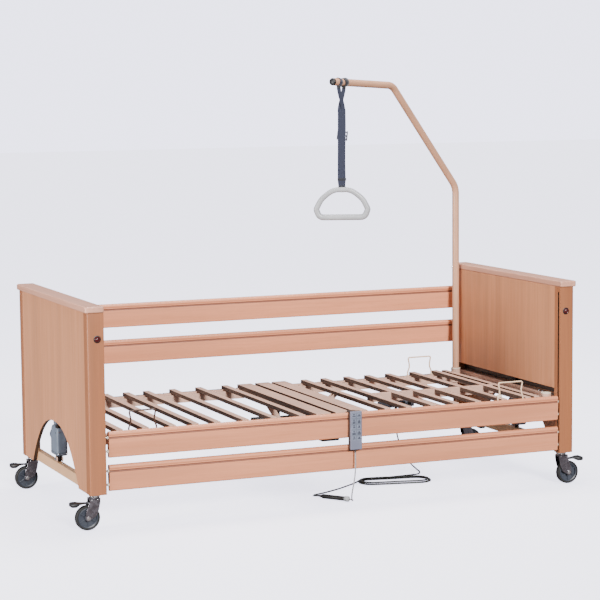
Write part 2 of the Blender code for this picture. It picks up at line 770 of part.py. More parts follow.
def build_thigh_section(name, steel):
    """The thigh rest's frame with its slats, lever and the ears and pins of the knee hinge."""
    low, high = KNEE_HINGE_X + EYE_CLEAR, THIGH_HINGE_X + EYE_END
    bars = side_bars(low, high)
    frame = bars[0]
    parts = [bars[1]]
    parts += [slat(x, SLAT_WIDTH, SECTION_TOP - SINK) for x in THIGH_SLATS]
    for side in (-1, 1):
        # an ear inside the bar, and the web that ties it to the bar
        bottom, top = SECTION_BOTTOM + SINK, SECTION_TOP - SINK
        ear = block((KNEE_HINGE_X - 0.010, side * 0.4205, bottom), (low + 0.030, side * 0.4265, top))
        web = block((low + 0.002, side * 0.4250, bottom + SINK), (low + 0.028, side * 0.4300, top - SINK))
        parts += [ear, web]
    join(frame, *parts)
    join(frame, *hinge_pins(KNEE_HINGE_X, 0.423))
    join(frame, *lever_parts(THIGH_HINGE_X, 1, THIGH_SWING, THIGH_SLATS[-1], -DRIVE_Y))
    finish(cut(frame, *hinge_eyes(THIGH_HINGE_X)), name, steel, (THIGH_HINGE_X, 0, HINGE_Z))


def build_calf_section(name, steel):
    """The calf rest's frame with its slats."""
    bars = side_bars(CALF_END_X, KNEE_HINGE_X + EYE_END)
    frame = bars[0]
    parts = [bars[1]]
    parts += [slat(x, SLAT_WIDTH, SECTION_TOP - SINK) for x in CALF_SLATS]
    join(frame, *parts)
    finish(cut(frame, *hinge_eyes(KNEE_HINGE_X)), name, steel, (KNEE_HINGE_X, 0, HINGE_Z))


def build_retainer(name, x_low, x_high, side, pivot_x, steel):
    """A wire hoop that keeps the mattress from sliding off."""
    y = side * sum(SECTION_BAR_Y) / 2
    foot = SECTION_TOP + GAP
    corners = [(x_low, y, foot), (x_low, y, HOOP_TOP), (x_high, y, HOOP_TOP), (x_high, y, foot)]
    points = rounded_route(corners, HOOP_BEND, 4)
    tube(name, points, HOOP_RADIUS, steel, (pivot_x, 0, HINGE_Z), resolution=1)


# ---- section drives ---------------------------------------------------------------------------
def build_drive(kind, hinge_x, toward, swing, y, length, tie_x, plastic, steel):
    """A housing that hangs from the base frame and a rod whose slotted end pushes a lever's pin."""
    pin_x = hinge_x - toward * LEVER * math.sin(swing / 2)
    high = HINGE_Z - LEVER * math.cos(swing / 2)  # the pin at its two limits
    low = HINGE_Z - LEVER  # the pin at mid swing
    axis_z = (high + low) / 2
    mouth = pin_x - toward * (YOKE_HALF_X + 0.020)
    rear = mouth - toward * length

    outline = rounded_box_outline(
        (y - DRIVE_HALF, axis_z - DRIVE_HALF), (y + DRIVE_HALF, axis_z + DRIVE_HALF), 0.007
    )
    housing = prism(outline, "X", *sorted((rear, mouth)))
    outline = rounded_box_outline((y - 0.030, axis_z - 0.060), (y + 0.030, axis_z + 0.024), 0.010)
    motor = prism(outline, "X", *sorted((rear - toward * 2 * SINK, rear + toward * 0.075)))
    bracket_high = (tie_x + CROSS_MEMBER_WIDTH, y + 0.012, BASE_BOTTOM - GAP)
    bracket = block((tie_x, y - 0.012, axis_z), bracket_high)
    bore_end = mouth - toward * (length - 0.030)
    bore_start = (mouth + toward * PAST, y, axis_z)
    bore = cylinder(bore_start, (bore_end, y, axis_z), DRIVE_ROD_RADIUS + SLIDE_FIT, 16)
    finish(cut(join(housing, motor, bracket), bore), kind + "_drive", plastic)

    rod_end = bore_end + toward * 0.020
    rod = cylinder((pin_x - toward * 0.008, y, axis_z), (rod_end, y, axis_z), DRIVE_ROD_RADIUS, 16)
    yoke = slotted_block(pin_x, low, high, YOKE_HALF_X, 0.014, 0.006, y, YOKE_HALF_Y)
    slot_half = PIN_RADIUS + PIN_PLAY
    slot = slotted_block(pin_x, low, high, slot_half, slot_half, 0.005, y, 2 * YOKE_HALF_Y)
    finish(cut(join(yoke, rod), slot), kind + "_drive_rod", steel, (pin_x, y, axis_z))


def slotted_block(x, low, high, half, reach, corner, y, thick):
    """A plate round the stretch from low to high, with round corners."""
    outline = rounded_box_outline((x - half, low - reach), (x + half, high + reach), corner, 2)
    return prism(outline, "Y", y - thick, y + thick)


# ---- side rails -------------------------------------------------------------------------------
def build_rail(name, side, bottom, wood):
    """A profiled rail bar with two guide pins at each end."""
    inner, outer = RAIL_Y
    top = bottom + RAIL_HEIGHT
    groove = top - 0.025
    face = outer - 0.0008
    recess = outer - 0.004
    outline = [(inner, bottom), (recess, bottom), (face, bottom + 0.004), (outer, bottom + 0.035)]
    outline += [(face, groove - 0.005), (recess, groove - 0.0015), (recess, groove + 0.0015)]
    outline += arc((outer - RAIL_BEAD, groove + 0.0075), RAIL_BEAD, -60, 30, 3)
    outline += [(recess + 0.0005, top - 0.003), (outer - 0.007, top), (inner, top)]
    outline = [(side * y, z) for y, z in outline]
    rail = prism(outline, "X", *RAIL_X)
    pins = []
    for end, start in ((-1, RAIL_X[0]), (1, RAIL_X[1])):
        tip = end * (POST_INNER_X + GUIDE_SLOT_DEPTH - 0.0015)
        for z in (bottom + RAIL_PIN_INSET, top - RAIL_PIN_INSET):
            y = side * GUIDE_SLOT_Y
            root = (start - end * 0.004, y, z)
            pins.append(cylinder(root, (tip, y, z), RAIL_PIN_RADIUS, 10))
    finish(join(rail, *pins), name, wood)


# ---- lifting pole -----------------------------------------------------------------------------
def arm_point(distance):
    """A point on the arm's axis, at a distance from its tip."""
    tip = Vector(POLE_TIP)
    return tip + (Vector(POLE_BEND_HIGH) - tip).normalized() * distance


def build_pole(name, steel):
    """The bent tube that stands in the far head corner's socket."""
    corners = [(POLE_X, POLE_Y, POLE_FOOT), POLE_BEND_LOW, POLE_BEND_HIGH, POLE_TIP]
    points = rounded_route(corners, POLE_BEND_RADIUS, 6)
    tube(name, points, POLE_RADIUS, steel, (POLE_X, POLE_Y, POLE_FOOT), resolution=3)


def build_strap(name, webbing):
    """The strap: a loop round the arm and a doubled band down to the grip."""
    hold = arm_point(STRAP_FROM_TIP)
    along = (Vector(POLE_BEND_HIGH) - Vector(POLE_TIP)).normalized()
    inner = POLE_RADIUS + SLIDE_FIT
    outer = inner + 0.004
    half = STRAP_LOOP / 2
    loop = turned([(inner, -half), (outer, -half), (outer, half), (inner, half)], hold, along, 20)
    bottom = GRIP_TOP + 0.0035
    thick = STRAP_THICKNESS / 2
    band = block((-STRAP_WIDTH / 2, -thick, bottom), (STRAP_WIDTH / 2, thick, hold.z - inner - SINK))
    turn = Matrix.Translation((hold.x, hold.y, 0)) @ Matrix.Rotation(GRIP_ANGLE, 4, "Z")
    band.data.transform(turn)
    finish(join(loop, band), name, webbing, hold)


def build_grip(name, plastic):
    """The grip: a closed ring with a straight lower bar and shoulders that slope up to a flat top."""
    hold = arm_point(STRAP_FROM_TIP)
    wide, level = GRIP_SIDE
    low = GRIP_BOTTOM + GRIP_TUBE
    high = GRIP_TOP - GRIP_TUBE
    side = arc((wide - GRIP_CORNER - 0.004, low + GRIP_CORNER), GRIP_CORNER, -90, 0, 5)
    side += [(wide, level), (wide - 0.004, level + 0.011)]
    slope = (high - level - 0.011) / (wide - 0.004 - GRIP_SHOULDER)
    for share in (0.35, 0.70):
        across = (wide - 0.004) * (1 - share) + GRIP_SHOULDER * share
        bow = GRIP_BOW * math.sin(math.pi * share)
        side.append((across + bow, high - slope * (across - GRIP_SHOULDER) + bow))
    side += [(GRIP_SHOULDER, high)]
    outline = side + [(-u, v) for u, v in reversed(side)]
    turn = Matrix.Translation((hold.x, hold.y, 0)) @ Matrix.Rotation(GRIP_ANGLE, 4, "Z")
    points = [turn @ Vector((u, 0, v)) for u, v in outline]
    tube(name, points, GRIP_TUBE, plastic, hold, resolution=2, closed=True)


# ---- handset and cords ------------------------------------------------------------------------
def build_handset(name, plastic):
    """The hand control with the hook that hangs it over the upper near rail."""
    rail_top = LOW_UPPER_RAIL + RAIL_HEIGHT
    front = -HANDSET_Y
    back = -(RAIL_Y[1] + 0.0012)
    body = prism(
        rounded_box_outline((HANDSET_X[0], HANDSET_Z[0]), (HANDSET_X[1], HANDSET_Z[1]), 0.006, 2),
        "Y",
        front,
        back,
    )
    middle = sum(HANDSET_X) / 2
    hook_back = RAIL_Y[0] - 0.0065
    half = 0.016
    over_low = (middle - half - SINK, back - 0.004, rail_top + 0.0012)
    over = block(over_low, (middle + half + SINK, -hook_back + GAP, rail_top + 0.0062))
    down_low = (middle - half, -hook_back - 0.004, rail_top - 0.032)
    down = block(down_low, (middle + half, -hook_back, rail_top + 0.0052))
    exit_x, exit_y, exit_z = HANDSET_ROUTE[0]
    relief_low = (exit_x, exit_y, exit_z + GAP)
    relief = cylinder(relief_low, (exit_x, exit_y, HANDSET_Z[0] + 0.007), 0.0050, 12)
    finish(join(body, over, down, relief), name, plastic)


def build_sleeve(name, plastic):
    """The connector that lies on the floor, with a collar at the handset's end."""
    start, end = Vector(SLEEVE_START), Vector(SLEEVE_END)
    length = (end - start).length
    collar, sleeve, nose = 0.0115, 0.0095, 0.0045
    back, front = -0.022, length + 0.018
    profile = [(0, back), (0.0060, back), (collar, back + 0.003), (collar, -0.002), (sleeve, 0)]
    profile += [(sleeve, length - 0.004), (0.0060, length), (nose, front), (0, front)]
    finish(turned(profile, start, end - start, 16), name, plastic, smooth=True)


def build_cord(name, route, diameter, rubber):
    tube(name, smooth_route(route, CORD_STEP * diameter), diameter / 2, rubber)


def build_hank(name, rubber):
    """The tied-up length of the lead, as one flat solid with round ends."""
    radius = HANK_WIDTH / 2
    reach = HANK_LENGTH / 2 - radius
    outline = arc((reach, 0), radius, -90, 90, 8) + arc((-reach, 0), radius, 90, 270, 8)
    hank = prism(outline, "Z", GAP, HANK_HEIGHT)
    turn = Matrix.Translation((*HANK_CENTRE, 0)) @ Matrix.Rotation(HANK_ANGLE, 4, "Z")
    hank.data.transform(turn)
    finish(hank, name, rubber)


# ---- the bed ----------------------------------------------------------------------------------
def build_bed():
    for old in list(bpy.data.objects):
        bpy.data.objects.remove(old)

    board_wood = material("board_beech", (0.60, 0.36, 0.22), 0.45)
    rail_wood = material("rail_beech", (0.72, 0.42, 0.28), 0.40)
    beige_steel = material("beige_steel", (0.62, 0.50, 0.36), 0.40)
    dark_steel = material("dark_steel", (0.16, 0.15, 0.15), 0.40, 0.8)
    bright_steel = material("bright_steel", (0.55, 0.55, 0.57), 0.30, 1.0)
    grey_plastic = material("grey_plastic", (0.35, 0.41, 0.48), 0.45)
    black_plastic = material("black_plastic", (0.03, 0.03, 0.03), 0.45)
    red_plastic = material("red_plastic", (0.12, 0.02, 0.02), 0.35)
    grip_plastic = material("grip_plastic", (0.72, 0.74, 0.72), 0.40)
    tyre_rubber = material("tyre_rubber", (0.03, 0.03, 0.04), 0.70)
    cord_rubber = material("cord_rubber", (0.05, 0.06, 0.06), 0.60)
    webbing = material("webbing", (0.12, 0.15, 0.25), 0.80)

    for end, end_name in ((-1, "foot"), (1, "head")):
        build_panel(end_name + "_board_panel", end, board_wood)
        build_cladding(end_name + "_board_cladding", end, board_wood)
        build_cap(end_name + "_board_cap", end, board_wood)
        build_chassis(end_name + "_chassis", end, beige_steel)
        build_lift_rod(end_name + "_lift_rod", end, dark_steel)
        build_lift_motor(end_name + "_lift_motor", end, grey_plastic)
        build_beam(end_name + "_lift_beam", end, beige_steel)
        for side, side_name in ((-1, "near"), (1, "far")):
            corner = end_name + "_" + side_name
            build_post(corner + "_post", end, side, board_wood)
            build_button(corner + "_button", end, side, red_plastic)
            build_fork(corner + "_fork", end, side, bright_steel)
            build_wheel(corner + "_wheel", end, side, tyre_rubber)
            build_pedal(corner + "_pedal", end, side, black_plastic)

    build_base_frame("base_frame", beige_steel)
    build_back_section("back_section", beige_steel)
    build_thigh_section("thigh_section", beige_steel)
    build_calf_section("calf_section", beige_steel)
    for side, side_name in ((-1, "near"), (1, "far")):
        build_retainer("foot_" + side_name + "_retainer", *FOOT_HOOP_X, side, KNEE_HINGE_X, beige_steel)
        build_retainer("head_" + side_name + "_retainer", *HEAD_HOOP_X, side, BACK_HINGE_X, beige_steel)
    skins = (black_plastic, bright_steel)
    back_tie, leg_tie = (x for x, _ in BASE_CROSS_MEMBERS[:2])
    build_drive("back", BACK_HINGE_X, 1, BACK_SWING, DRIVE_Y, BACK_DRIVE_LENGTH, back_tie, *skins)
    build_drive("leg", THIGH_HINGE_X, -1, THIGH_SWING, -DRIVE_Y, LEG_DRIVE_LENGTH, leg_tie, *skins)
    finish(block(*CONTROL_BOX), "control_box", grey_plastic)

    build_pole("lifting_pole", beige_steel)
    build_strap("grip_strap", webbing)
    build_grip("hand_grip", grip_plastic)

    build_rail("near_upper_rail", -1, LOW_UPPER_RAIL, rail_wood)
    build_rail("near_lower_rail", -1, LOW_LOWER_RAIL, rail_wood)
    build_rail("far_upper_rail", 1, LOW_UPPER_RAIL + UPPER_TRAVEL, rail_wood)
    build_rail("far_lower_rail", 1, LOW_LOWER_RAIL + LOWER_TRAVEL, rail_wood)

    build_handset("handset", grey_plastic)
    build_cord("handset_cord", HANDSET_ROUTE, HANDSET_CORD, cord_rubber)
    build_sleeve("cord_connector", black_plastic)
    build_cord("lead_cord", LEAD_ROUTE, LEAD_CORD, cord_rubber)
    build_hank("lead_hank", cord_rubber)
    build_cord("lead_riser", RISER_ROUTE, LEAD_CORD, cord_rubber)


build_bed()
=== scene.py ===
import json
import math

import bmesh
import bpy
from mathutils import Matrix, Vector


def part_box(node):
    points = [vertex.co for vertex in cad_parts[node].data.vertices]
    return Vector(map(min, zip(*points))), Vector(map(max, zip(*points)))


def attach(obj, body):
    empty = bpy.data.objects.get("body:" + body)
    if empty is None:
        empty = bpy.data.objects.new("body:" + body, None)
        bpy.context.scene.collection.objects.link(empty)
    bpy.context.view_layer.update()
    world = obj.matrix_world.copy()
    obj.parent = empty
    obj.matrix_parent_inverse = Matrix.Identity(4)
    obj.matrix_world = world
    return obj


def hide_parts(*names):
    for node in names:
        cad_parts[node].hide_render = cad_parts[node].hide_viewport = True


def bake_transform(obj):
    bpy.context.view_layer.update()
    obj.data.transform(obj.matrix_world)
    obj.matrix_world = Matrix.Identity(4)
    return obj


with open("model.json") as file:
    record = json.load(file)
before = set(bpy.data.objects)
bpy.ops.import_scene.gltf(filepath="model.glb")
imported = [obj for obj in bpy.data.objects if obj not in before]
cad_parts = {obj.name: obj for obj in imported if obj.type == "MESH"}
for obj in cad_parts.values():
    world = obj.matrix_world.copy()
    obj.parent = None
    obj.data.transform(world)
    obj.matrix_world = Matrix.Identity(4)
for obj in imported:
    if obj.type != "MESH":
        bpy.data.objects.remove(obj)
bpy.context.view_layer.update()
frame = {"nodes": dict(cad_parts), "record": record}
SCENE = bpy.context.scene

FOOT, HEAD = -1, 1
NEAR, FAR = -1, 1
ENDS = ((FOOT, "foot"), (HEAD, "head"))
SIDES = ((NEAR, "near"), (FAR, "far"))
CORNERS = [(end, side, end_name + "_" + side_name) for end, end_name in ENDS for side, side_name in SIDES]
UP = Vector((0, 0, 1))
SLOT_OF = {row["node"]: row["material_slot"] for row in frame["record"]["subparts"]}
BODIES = frame["record"]["behaviour"]["bodies"]
BODY_OF = {node: body for body, nodes in BODIES.items() for node in nodes}


# ---- camera -----------------------------------------------------------------------------------
CAMERA_PLACE = Vector((-3.379, -8.019, 1.774))
CAMERA_AZIMUTH = math.radians(-22.98)
CAMERA_ELEVATION = math.radians(6.29)
CAMERA_ROLL = math.radians(-0.50)
LENS = 121.6
SENSOR = 36.0


def make_camera():
    data = bpy.data.cameras.new("camera")
    data.lens = LENS
    data.sensor_width = SENSOR
    data.clip_end = 100.0
    level = math.cos(CAMERA_ELEVATION)
    back = Vector((
        math.sin(CAMERA_AZIMUTH) * level,
        -math.cos(CAMERA_AZIMUTH) * level,
        math.sin(CAMERA_ELEVATION),
    ))
    right = (-back).cross(UP).normalized()
    up = right.cross(-back)
    right, up = (
        right * math.cos(CAMERA_ROLL) + up * math.sin(CAMERA_ROLL),
        up * math.cos(CAMERA_ROLL) - right * math.sin(CAMERA_ROLL),
    )
    camera = bpy.data.objects.new("camera", data)
    turn = Matrix((right, up, back)).transposed().to_4x4()
    camera.matrix_world = Matrix.Translation(CAMERA_PLACE) @ turn
    SCENE.collection.objects.link(camera)
    SCENE.camera = camera


make_camera()


# ---- mesh helpers -----------------------------------------------------------------------------
def mm(*points):
    """Points given in millimetres, as points in metres."""
    return [tuple(value / 1000 for value in point) for point in points]


def new_piece(shape, skin, smooth=40):
    """An object from a bmesh, smooth except at edges sharper than an angle in degrees."""
    bmesh.ops.recalc_face_normals(shape, faces=shape.faces)
    mesh = bpy.data.meshes.new("part")
    shape.to_mesh(mesh)
    shape.free()
    piece = bpy.data.objects.new("part", mesh)
    SCENE.collection.objects.link(piece)
    mesh.materials.append(skin)
    mesh.shade_smooth()
    mesh.set_sharp_from_angle(angle=math.radians(smooth))
    return piece


def bevelled(piece, width, segments=3, angle=35):
    """Rounds a piece's edges for good."""
    step = piece.modifiers.new("edges", "BEVEL")
    step.width = width
    step.segments = segments
    step.limit_method = "ANGLE"
    step.angle_limit = math.radians(angle)
    step.harden_normals = True
    graph = bpy.context.evaluated_depsgraph_get()
    mesh = bpy.data.meshes.new_from_object(piece.evaluated_get(graph))
    piece.modifiers.clear()
    piece.data = mesh
    return piece


def rounded_box(low, high, radius, skin, segments=3):
    shape = bmesh.new()
    bmesh.ops.create_cube(shape, size=1.0)
    bmesh.ops.scale(shape, vec=[abs(b - a) for a, b in zip(low, high)], verts=shape.verts)
    bmesh.ops.translate(shape, vec=[(a + b) / 2 for a, b in zip(low, high)], verts=shape.verts)
    return bevelled(new_piece(shape, skin), radius, segments)


def loft(rings, skin, loop=False, smooth=40):
    """A skin over rings of points, with flat ends, or closed in a loop."""
    shape = bmesh.new()
    rows = [[shape.verts.new(p) for p in ring] for ring in rings]
    pairs = list(zip(rows, rows[1:]))
    if loop:
        pairs.append((rows[-1], rows[0]))
    for a, b in pairs:
        for i in range(len(a)):
            j = (i + 1) % len(a)
            shape.faces.new((a[i], a[j], b[j], b[i]))
    if not loop:
        shape.faces.new(rows[0])
        shape.faces.new(rows[-1])
    return new_piece(shape, skin, smooth)


def prism(outline, axis, low, high, skin):
    """A flat outline pushed from low to high along an axis. Its points are the other two coordinates."""
    slot = "XYZ".index(axis)
    rings = [[(*point[:slot], level, *point[slot:]) for point in outline] for level in (low, high)]
    return loft(rings, skin)


def turned(profile, origin, direction, skin, sides=40, smooth=40):
    """A profile of (radius, height) turned round a direction. Without points at radius 0 it is a ring."""
    shape = bmesh.new()
    rings = []
    for radius, height in profile:
        count = 1 if radius == 0 else sides
        ring = []
        for i in range(count):
            angle = math.tau * i / sides
            ring.append(shape.verts.new((radius * math.cos(angle), radius * math.sin(angle), height)))
        rings.append(ring)
    pairs = list(zip(rings, rings[1:]))
    if len(rings[0]) > 1:
        pairs.append((rings[-1], rings[0]))
    for a, b in pairs:
        for i in range(sides):
            j = (i + 1) % sides
            corners = [a[i % len(a)], a[j % len(a)], b[j % len(b)], b[i % len(b)]]
            shape.faces.new(list(dict.fromkeys(corners)))
    turn = Vector(direction).to_track_quat("Z", "Y").to_matrix().to_4x4()
    bmesh.ops.transform(shape, matrix=Matrix.Translation(origin) @ turn, verts=shape.verts)
    return new_piece(shape, skin, smooth)


def joined(pieces):
    """Several pieces as one object. Each keeps its material."""
    shape = bmesh.new()
    skins = []
    for piece in pieces:
        mesh = piece.data
        kept = len(shape.faces)
        shape.from_mesh(mesh)
        shape.faces.ensure_lookup_table()
        for face in shape.faces[kept:]:
            skin = mesh.materials[face.material_index]
            if skin not in skins:
                skins.append(skin)
            face.material_index = skins.index(skin)
    mesh = bpy.data.meshes.new("part")
    shape.to_mesh(mesh)
    shape.free()
    for skin in skins:
        mesh.materials.append(skin)
    for piece in pieces:
        bpy.data.objects.remove(piece)
    made = bpy.data.objects.new("part", mesh)
    SCENE.collection.objects.link(made)
    return made


def keep(made, name, body, *nodes, slot=None):
    """Names a piece or joined parts, rides it on its body and hides the CAD nodes it stands for."""
    piece = joined(made) if isinstance(made, list) else made
    piece.data.name = name
    piece.name = name
    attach(piece, body)
    if nodes:
        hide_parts(*nodes)
        slot = slot or SLOT_OF[nodes[0]]
    return piece


def refined(node, skin, width, segments=2, angle=30):
    """A CAD node's shape with its flat faces merged and its edges rounded. It replaces the node."""
    shape = bmesh.new()
    shape.from_mesh(frame["nodes"][node].data)
    for layer in list(shape.loops.layers.float_vector.values()):
        shape.loops.layers.float_vector.remove(layer)
    bmesh.ops.remove_doubles(shape, verts=shape.verts, dist=0.00001)
    bmesh.ops.dissolve_limit(shape, angle_limit=math.radians(2), verts=shape.verts, edges=shape.edges)
    clean = bmesh.new()
    index = {vertex: clean.verts.new(vertex.co) for vertex in shape.verts}
    for face in shape.faces:
        clean.faces.new([index[v] for v in face.verts])
    shape.free()
    piece = bevelled(new_piece(clean, skin), width, segments, angle)
    return keep(piece, node + "_skin", BODY_OF[node], node)


def paint_faces(piece, skin, wanted):
    """Gives a second material to the faces whose normal and centre pass a test."""
    piece.data.materials.append(skin)
    index = len(piece.data.materials) - 1
    for face in piece.data.polygons:
        if wanted(face.normal, face.center):
            face.material_index = index


def smooth_route(points, spacing):
    """Evenly spaced points on a smooth curve through the given ones."""
    points = [Vector(p) for p in points]
    padded = [2 * points[0] - points[1], *points, 2 * points[-1] - points[-2]]
    fine = []
    for a, b, c, d in zip(padded, padded[1:], padded[2:], padded[3:]):
        for i in range(20):
            t = i / 20
            fine.append(
                0.5 * (2 * b + (c - a) * t + (2 * a - 5 * b + 4 * c - d) * t * t
                       + (3 * b - a - 3 * c + d) * t ** 3)
            )
    fine.append(points[-1])
    lengths = [0.0]
    for a, b in zip(fine, fine[1:]):
        lengths.append(lengths[-1] + (b - a).length)
    count = max(2, round(lengths[-1] / spacing))
    result = []
    k = 0
    for i in range(count + 1):
        wanted = lengths[-1] * i / count
        while k < len(fine) - 2 and lengths[k + 1] < wanted:
            k += 1
        share = (wanted - lengths[k]) / max(lengths[k + 1] - lengths[k], 1e-9)
        result.append(fine[k].lerp(fine[k + 1], min(1.0, share)))
    return result


def section_rings(points, outline):
    """A flat outline of (side, up) pairs carried along points without twist."""
    points = [Vector(p) for p in points]
    ends = [points[0], *points, points[-1]]
    tangents = [(after - before).normalized() for before, after in zip(ends, ends[2:])]
    guess = UP if abs(tangents[0].z) < 0.9 else Vector((1, 0, 0))
    up = (guess - tangents[0] * guess.dot(tangents[0])).normalized()
    rings = []
    for point, tangent in zip(points, tangents):
        up = (up - tangent * up.dot(tangent)).normalized()
        side = tangent.cross(up)
        rings.append([point + side * a + up * b for a, b in outline])
    return rings


def tube(points, radius, skin, sides=16):
    """A round bar with flat ends."""
    angles = [math.tau * k / sides for k in range(sides)]
    outline = [(radius * math.cos(angle), radius * math.sin(angle)) for angle in angles]
    return loft(section_rings(points, outline), skin, smooth=60)


def arc(centre, radius, start, end, steps):
    """Points on an arc in a plane, with the angles in degrees."""
    points = []
    for i in range(steps + 1):
        angle = math.radians(start + (end - start) * i / steps)
        points.append((centre[0] + radius * math.cos(angle), centre[1] + radius * math.sin(angle)))
    return points


def rounded_outline(low, high, radius, steps=4):
    """A rectangle with round corners, as points in a plane."""
    u0, u1 = low[0] + radius, high[0] - radius
    v0, v1 = low[1] + radius, high[1] - radius
    points = []
    for i, centre in enumerate(((u1, v0), (u1, v1), (u0, v1), (u0, v0))):
        points += arc(centre, radius, 90 * i - 90, 90 * i, steps)
    return points


def rounded_route(corners, radius, steps):
    """A polyline with each inner corner turned into an arc."""
    corners = [Vector(c) for c in corners]
    points = [corners[0]]
    for before, corner, after in zip(corners, corners[1:], corners[2:]):
        back = (before - corner).normalized()
        ahead = (after - corner).normalized()
        half = back.angle(ahead) / 2
        reach = radius / math.tan(half)
        centre = corner + (back + ahead).normalized() * (radius / math.sin(half))
        first = corner + back * reach - centre
        last = corner + ahead * reach - centre
        for i in range(steps + 1):
            turn = Matrix.Rotation(first.angle(last) * i / steps, 3, first.cross(last))
            points.append(centre + turn @ first)
    points.append(corners[-1])
    return points


def screw_head(place, direction, radius, skin):
    """A pan-head screw."""
    top = radius * 0.55
    profile = [(0, 0), (radius, 0), (radius, top * 0.45), (radius * 0.80, top * 0.85), (0, top)]
    return turned(profile, place, direction, skin, 18)


def hex_head(place, direction, radius, skin):
    """A hexagon bolt head."""
    top = radius * 0.55
    profile = [(0, 0), (radius, 0), (radius, top), (radius * 0.85, top * 1.15), (0, top * 1.15)]
    return turned(profile, place, direction, skin, 6, smooth=20)


def washer(place, direction, radius, thick):
    return turned([(0, 0), (radius, 0), (radius, thick), (0, thick)], place, direction, zinc_metal, 28)


# ---- materials --------------------------------------------------------------------------------
class Paint:
    """A node material that is built step by step."""

    def __init__(self, name, colour, roughness, metallic=0.0):
        self.material = bpy.data.materials.new(name)
        self.material.use_nodes = True
        self.tree = self.material.node_tree
        self.shader = self.tree.nodes["Principled BSDF"]
        self.set("Base Color", (*colour, 1.0))
        self.set("Roughness", roughness)
        self.set("Metallic", metallic)
        self.place = self.node("ShaderNodeTexCoord").outputs["Object"]

    def set(self, socket, value):
        self.shader.inputs[socket].default_value = value

    def node(self, kind, settings=None, **values):
        made = self.tree.nodes.new(kind)
        for key, value in values.items():
            setattr(made, key, value)
        for key, value in (settings or {}).items():
            made.inputs[key].default_value = value
        return made

    def wire(self, source, target):
        self.tree.links.new(source, target)

    def mapped(self, scale, turn=0.0):
        made = self.node("ShaderNodeMapping", {"Scale": scale, "Rotation": (0, 0, turn)})
        self.wire(self.place, made.inputs["Vector"])
        return made.outputs["Vector"]

    def noise(self, scale, detail=4.0, roughness=0.55, vector=None):
        settings = {"Scale": scale, "Detail": detail, "Roughness": roughness}
        made = self.node("ShaderNodeTexNoise", settings)
        self.wire(vector or self.place, made.inputs["Vector"])
        return made.outputs["Fac"]

    def wave(self, direction, scale, distortion, vector):
        made = self.node(
            "ShaderNodeTexWave", {"Scale": scale, "Distortion": distortion},
            wave_type="BANDS", bands_direction=direction, wave_profile="SIN",
        )
        self.wire(vector, made.inputs["Vector"])
        return made.outputs["Fac"]

    def ramp(self, source, low, high, low_value=0.0, high_value=1.0):
        settings = {"From Min": low, "From Max": high, "To Min": low_value, "To Max": high_value}
        made = self.node("ShaderNodeMapRange", settings)
        self.wire(source, made.inputs["Value"])
        return made.outputs["Result"]

    def mix(self, factor, first, second):
        """Mixes two colours. Each is a colour or a socket."""
        made = self.node("ShaderNodeMix", data_type="RGBA")
        self.wire(factor, made.inputs["Factor"])
        for key, value in (("A", first), ("B", second)):
            socket = [s for s in made.inputs if s.name == key and s.type == "RGBA"][0]
            if isinstance(value, tuple):
                socket.default_value = (*value, 1.0)
            else:
                self.wire(value, socket)
        return [s for s in made.outputs if s.type == "RGBA"][0]

    def combine(self, operation, first, second):
        made = self.node("ShaderNodeMath", operation=operation)
        self.wire(first, made.inputs[0])
        self.wire(second, made.inputs[1])
        return made.outputs["Value"]

    def finish(self, colour, bump, distance, strength, rough=None):
        """Joins the colour, the bump and the roughness to the shader."""
        self.wire(colour, self.shader.inputs["Base Color"])
        if rough:
            self.wire(rough, self.shader.inputs["Roughness"])
        made = self.node("ShaderNodeBump", {"Distance": distance, "Strength": strength})
        self.wire(bump, made.inputs["Height"])
        self.wire(made.outputs["Normal"], self.shader.inputs["Normal"])
        return self.material


def tint(colour, factor):
    return tuple(c * factor for c in colour)


def make_wood(name, colour, grain):
    """Lacquered beech. grain is the axis number that its fibres follow."""
    wood = Paint(name, colour, 0.42)
    wood.set("Coat Weight", 0.18)
    wood.set("Coat Roughness", 0.28)

    def along(across_scale, grain_scale):
        scale = [across_scale] * 3
        scale[grain] = grain_scale
        return wood.mapped(scale)

    broad = wood.noise(1.0, 3.0, 0.5, along(16.0, 0.9))
    streak = wood.noise(1.0, 5.0, 0.62, along(120.0, 3.2))
    fibre = wood.noise(1.0, 3.0, 0.6, along(700.0, 16.0))
    fleck = wood.noise(1.0, 1.0, 0.5, along(1300.0, 95.0))
    base = wood.mix(wood.ramp(broad, 0.32, 0.68), tint(colour, 0.85), tint(colour, 1.09))
    warm = (colour[0] * 0.83, colour[1] * 0.74, colour[2] * 0.66)
    base = wood.mix(wood.ramp(streak, 0.44, 0.72, 0.0, 0.68), base, warm)
    base = wood.mix(wood.ramp(fibre, 0.40, 0.75, 0.0, 0.30), base, tint(warm, 0.82))
    base = wood.mix(wood.ramp(fleck, 0.70, 0.80, 0.0, 0.55), base, tint(warm, 0.50))
    relief = wood.combine("ADD", fibre, streak)
    return wood.finish(base, relief, 0.00012, 0.5, wood.ramp(streak, 0.3, 0.7, 0.36, 0.52))


def make_coat(name, colour, roughness=0.42):
    """Powder coat: fine orange peel, a slight tone drift and faint rub marks."""
    coat = Paint(name, colour, roughness)
    coat.set("Specular IOR Level", 0.45)
    drift = coat.noise(9.0, 3.0)
    peel = coat.noise(900.0, 2.0)
    rub = coat.noise(60.0, 6.0, 0.7)
    base = coat.mix(coat.ramp(drift, 0.3, 0.7), tint(colour, 0.93), tint(colour, 1.05))
    base = coat.mix(coat.ramp(rub, 0.66, 0.84, 0.0, 0.12), base, tint(colour, 0.70))
    rough = coat.ramp(rub, 0.3, 0.75, roughness - 0.06, roughness + 0.12)
    return coat.finish(base, peel, 0.00006, 0.6, rough)


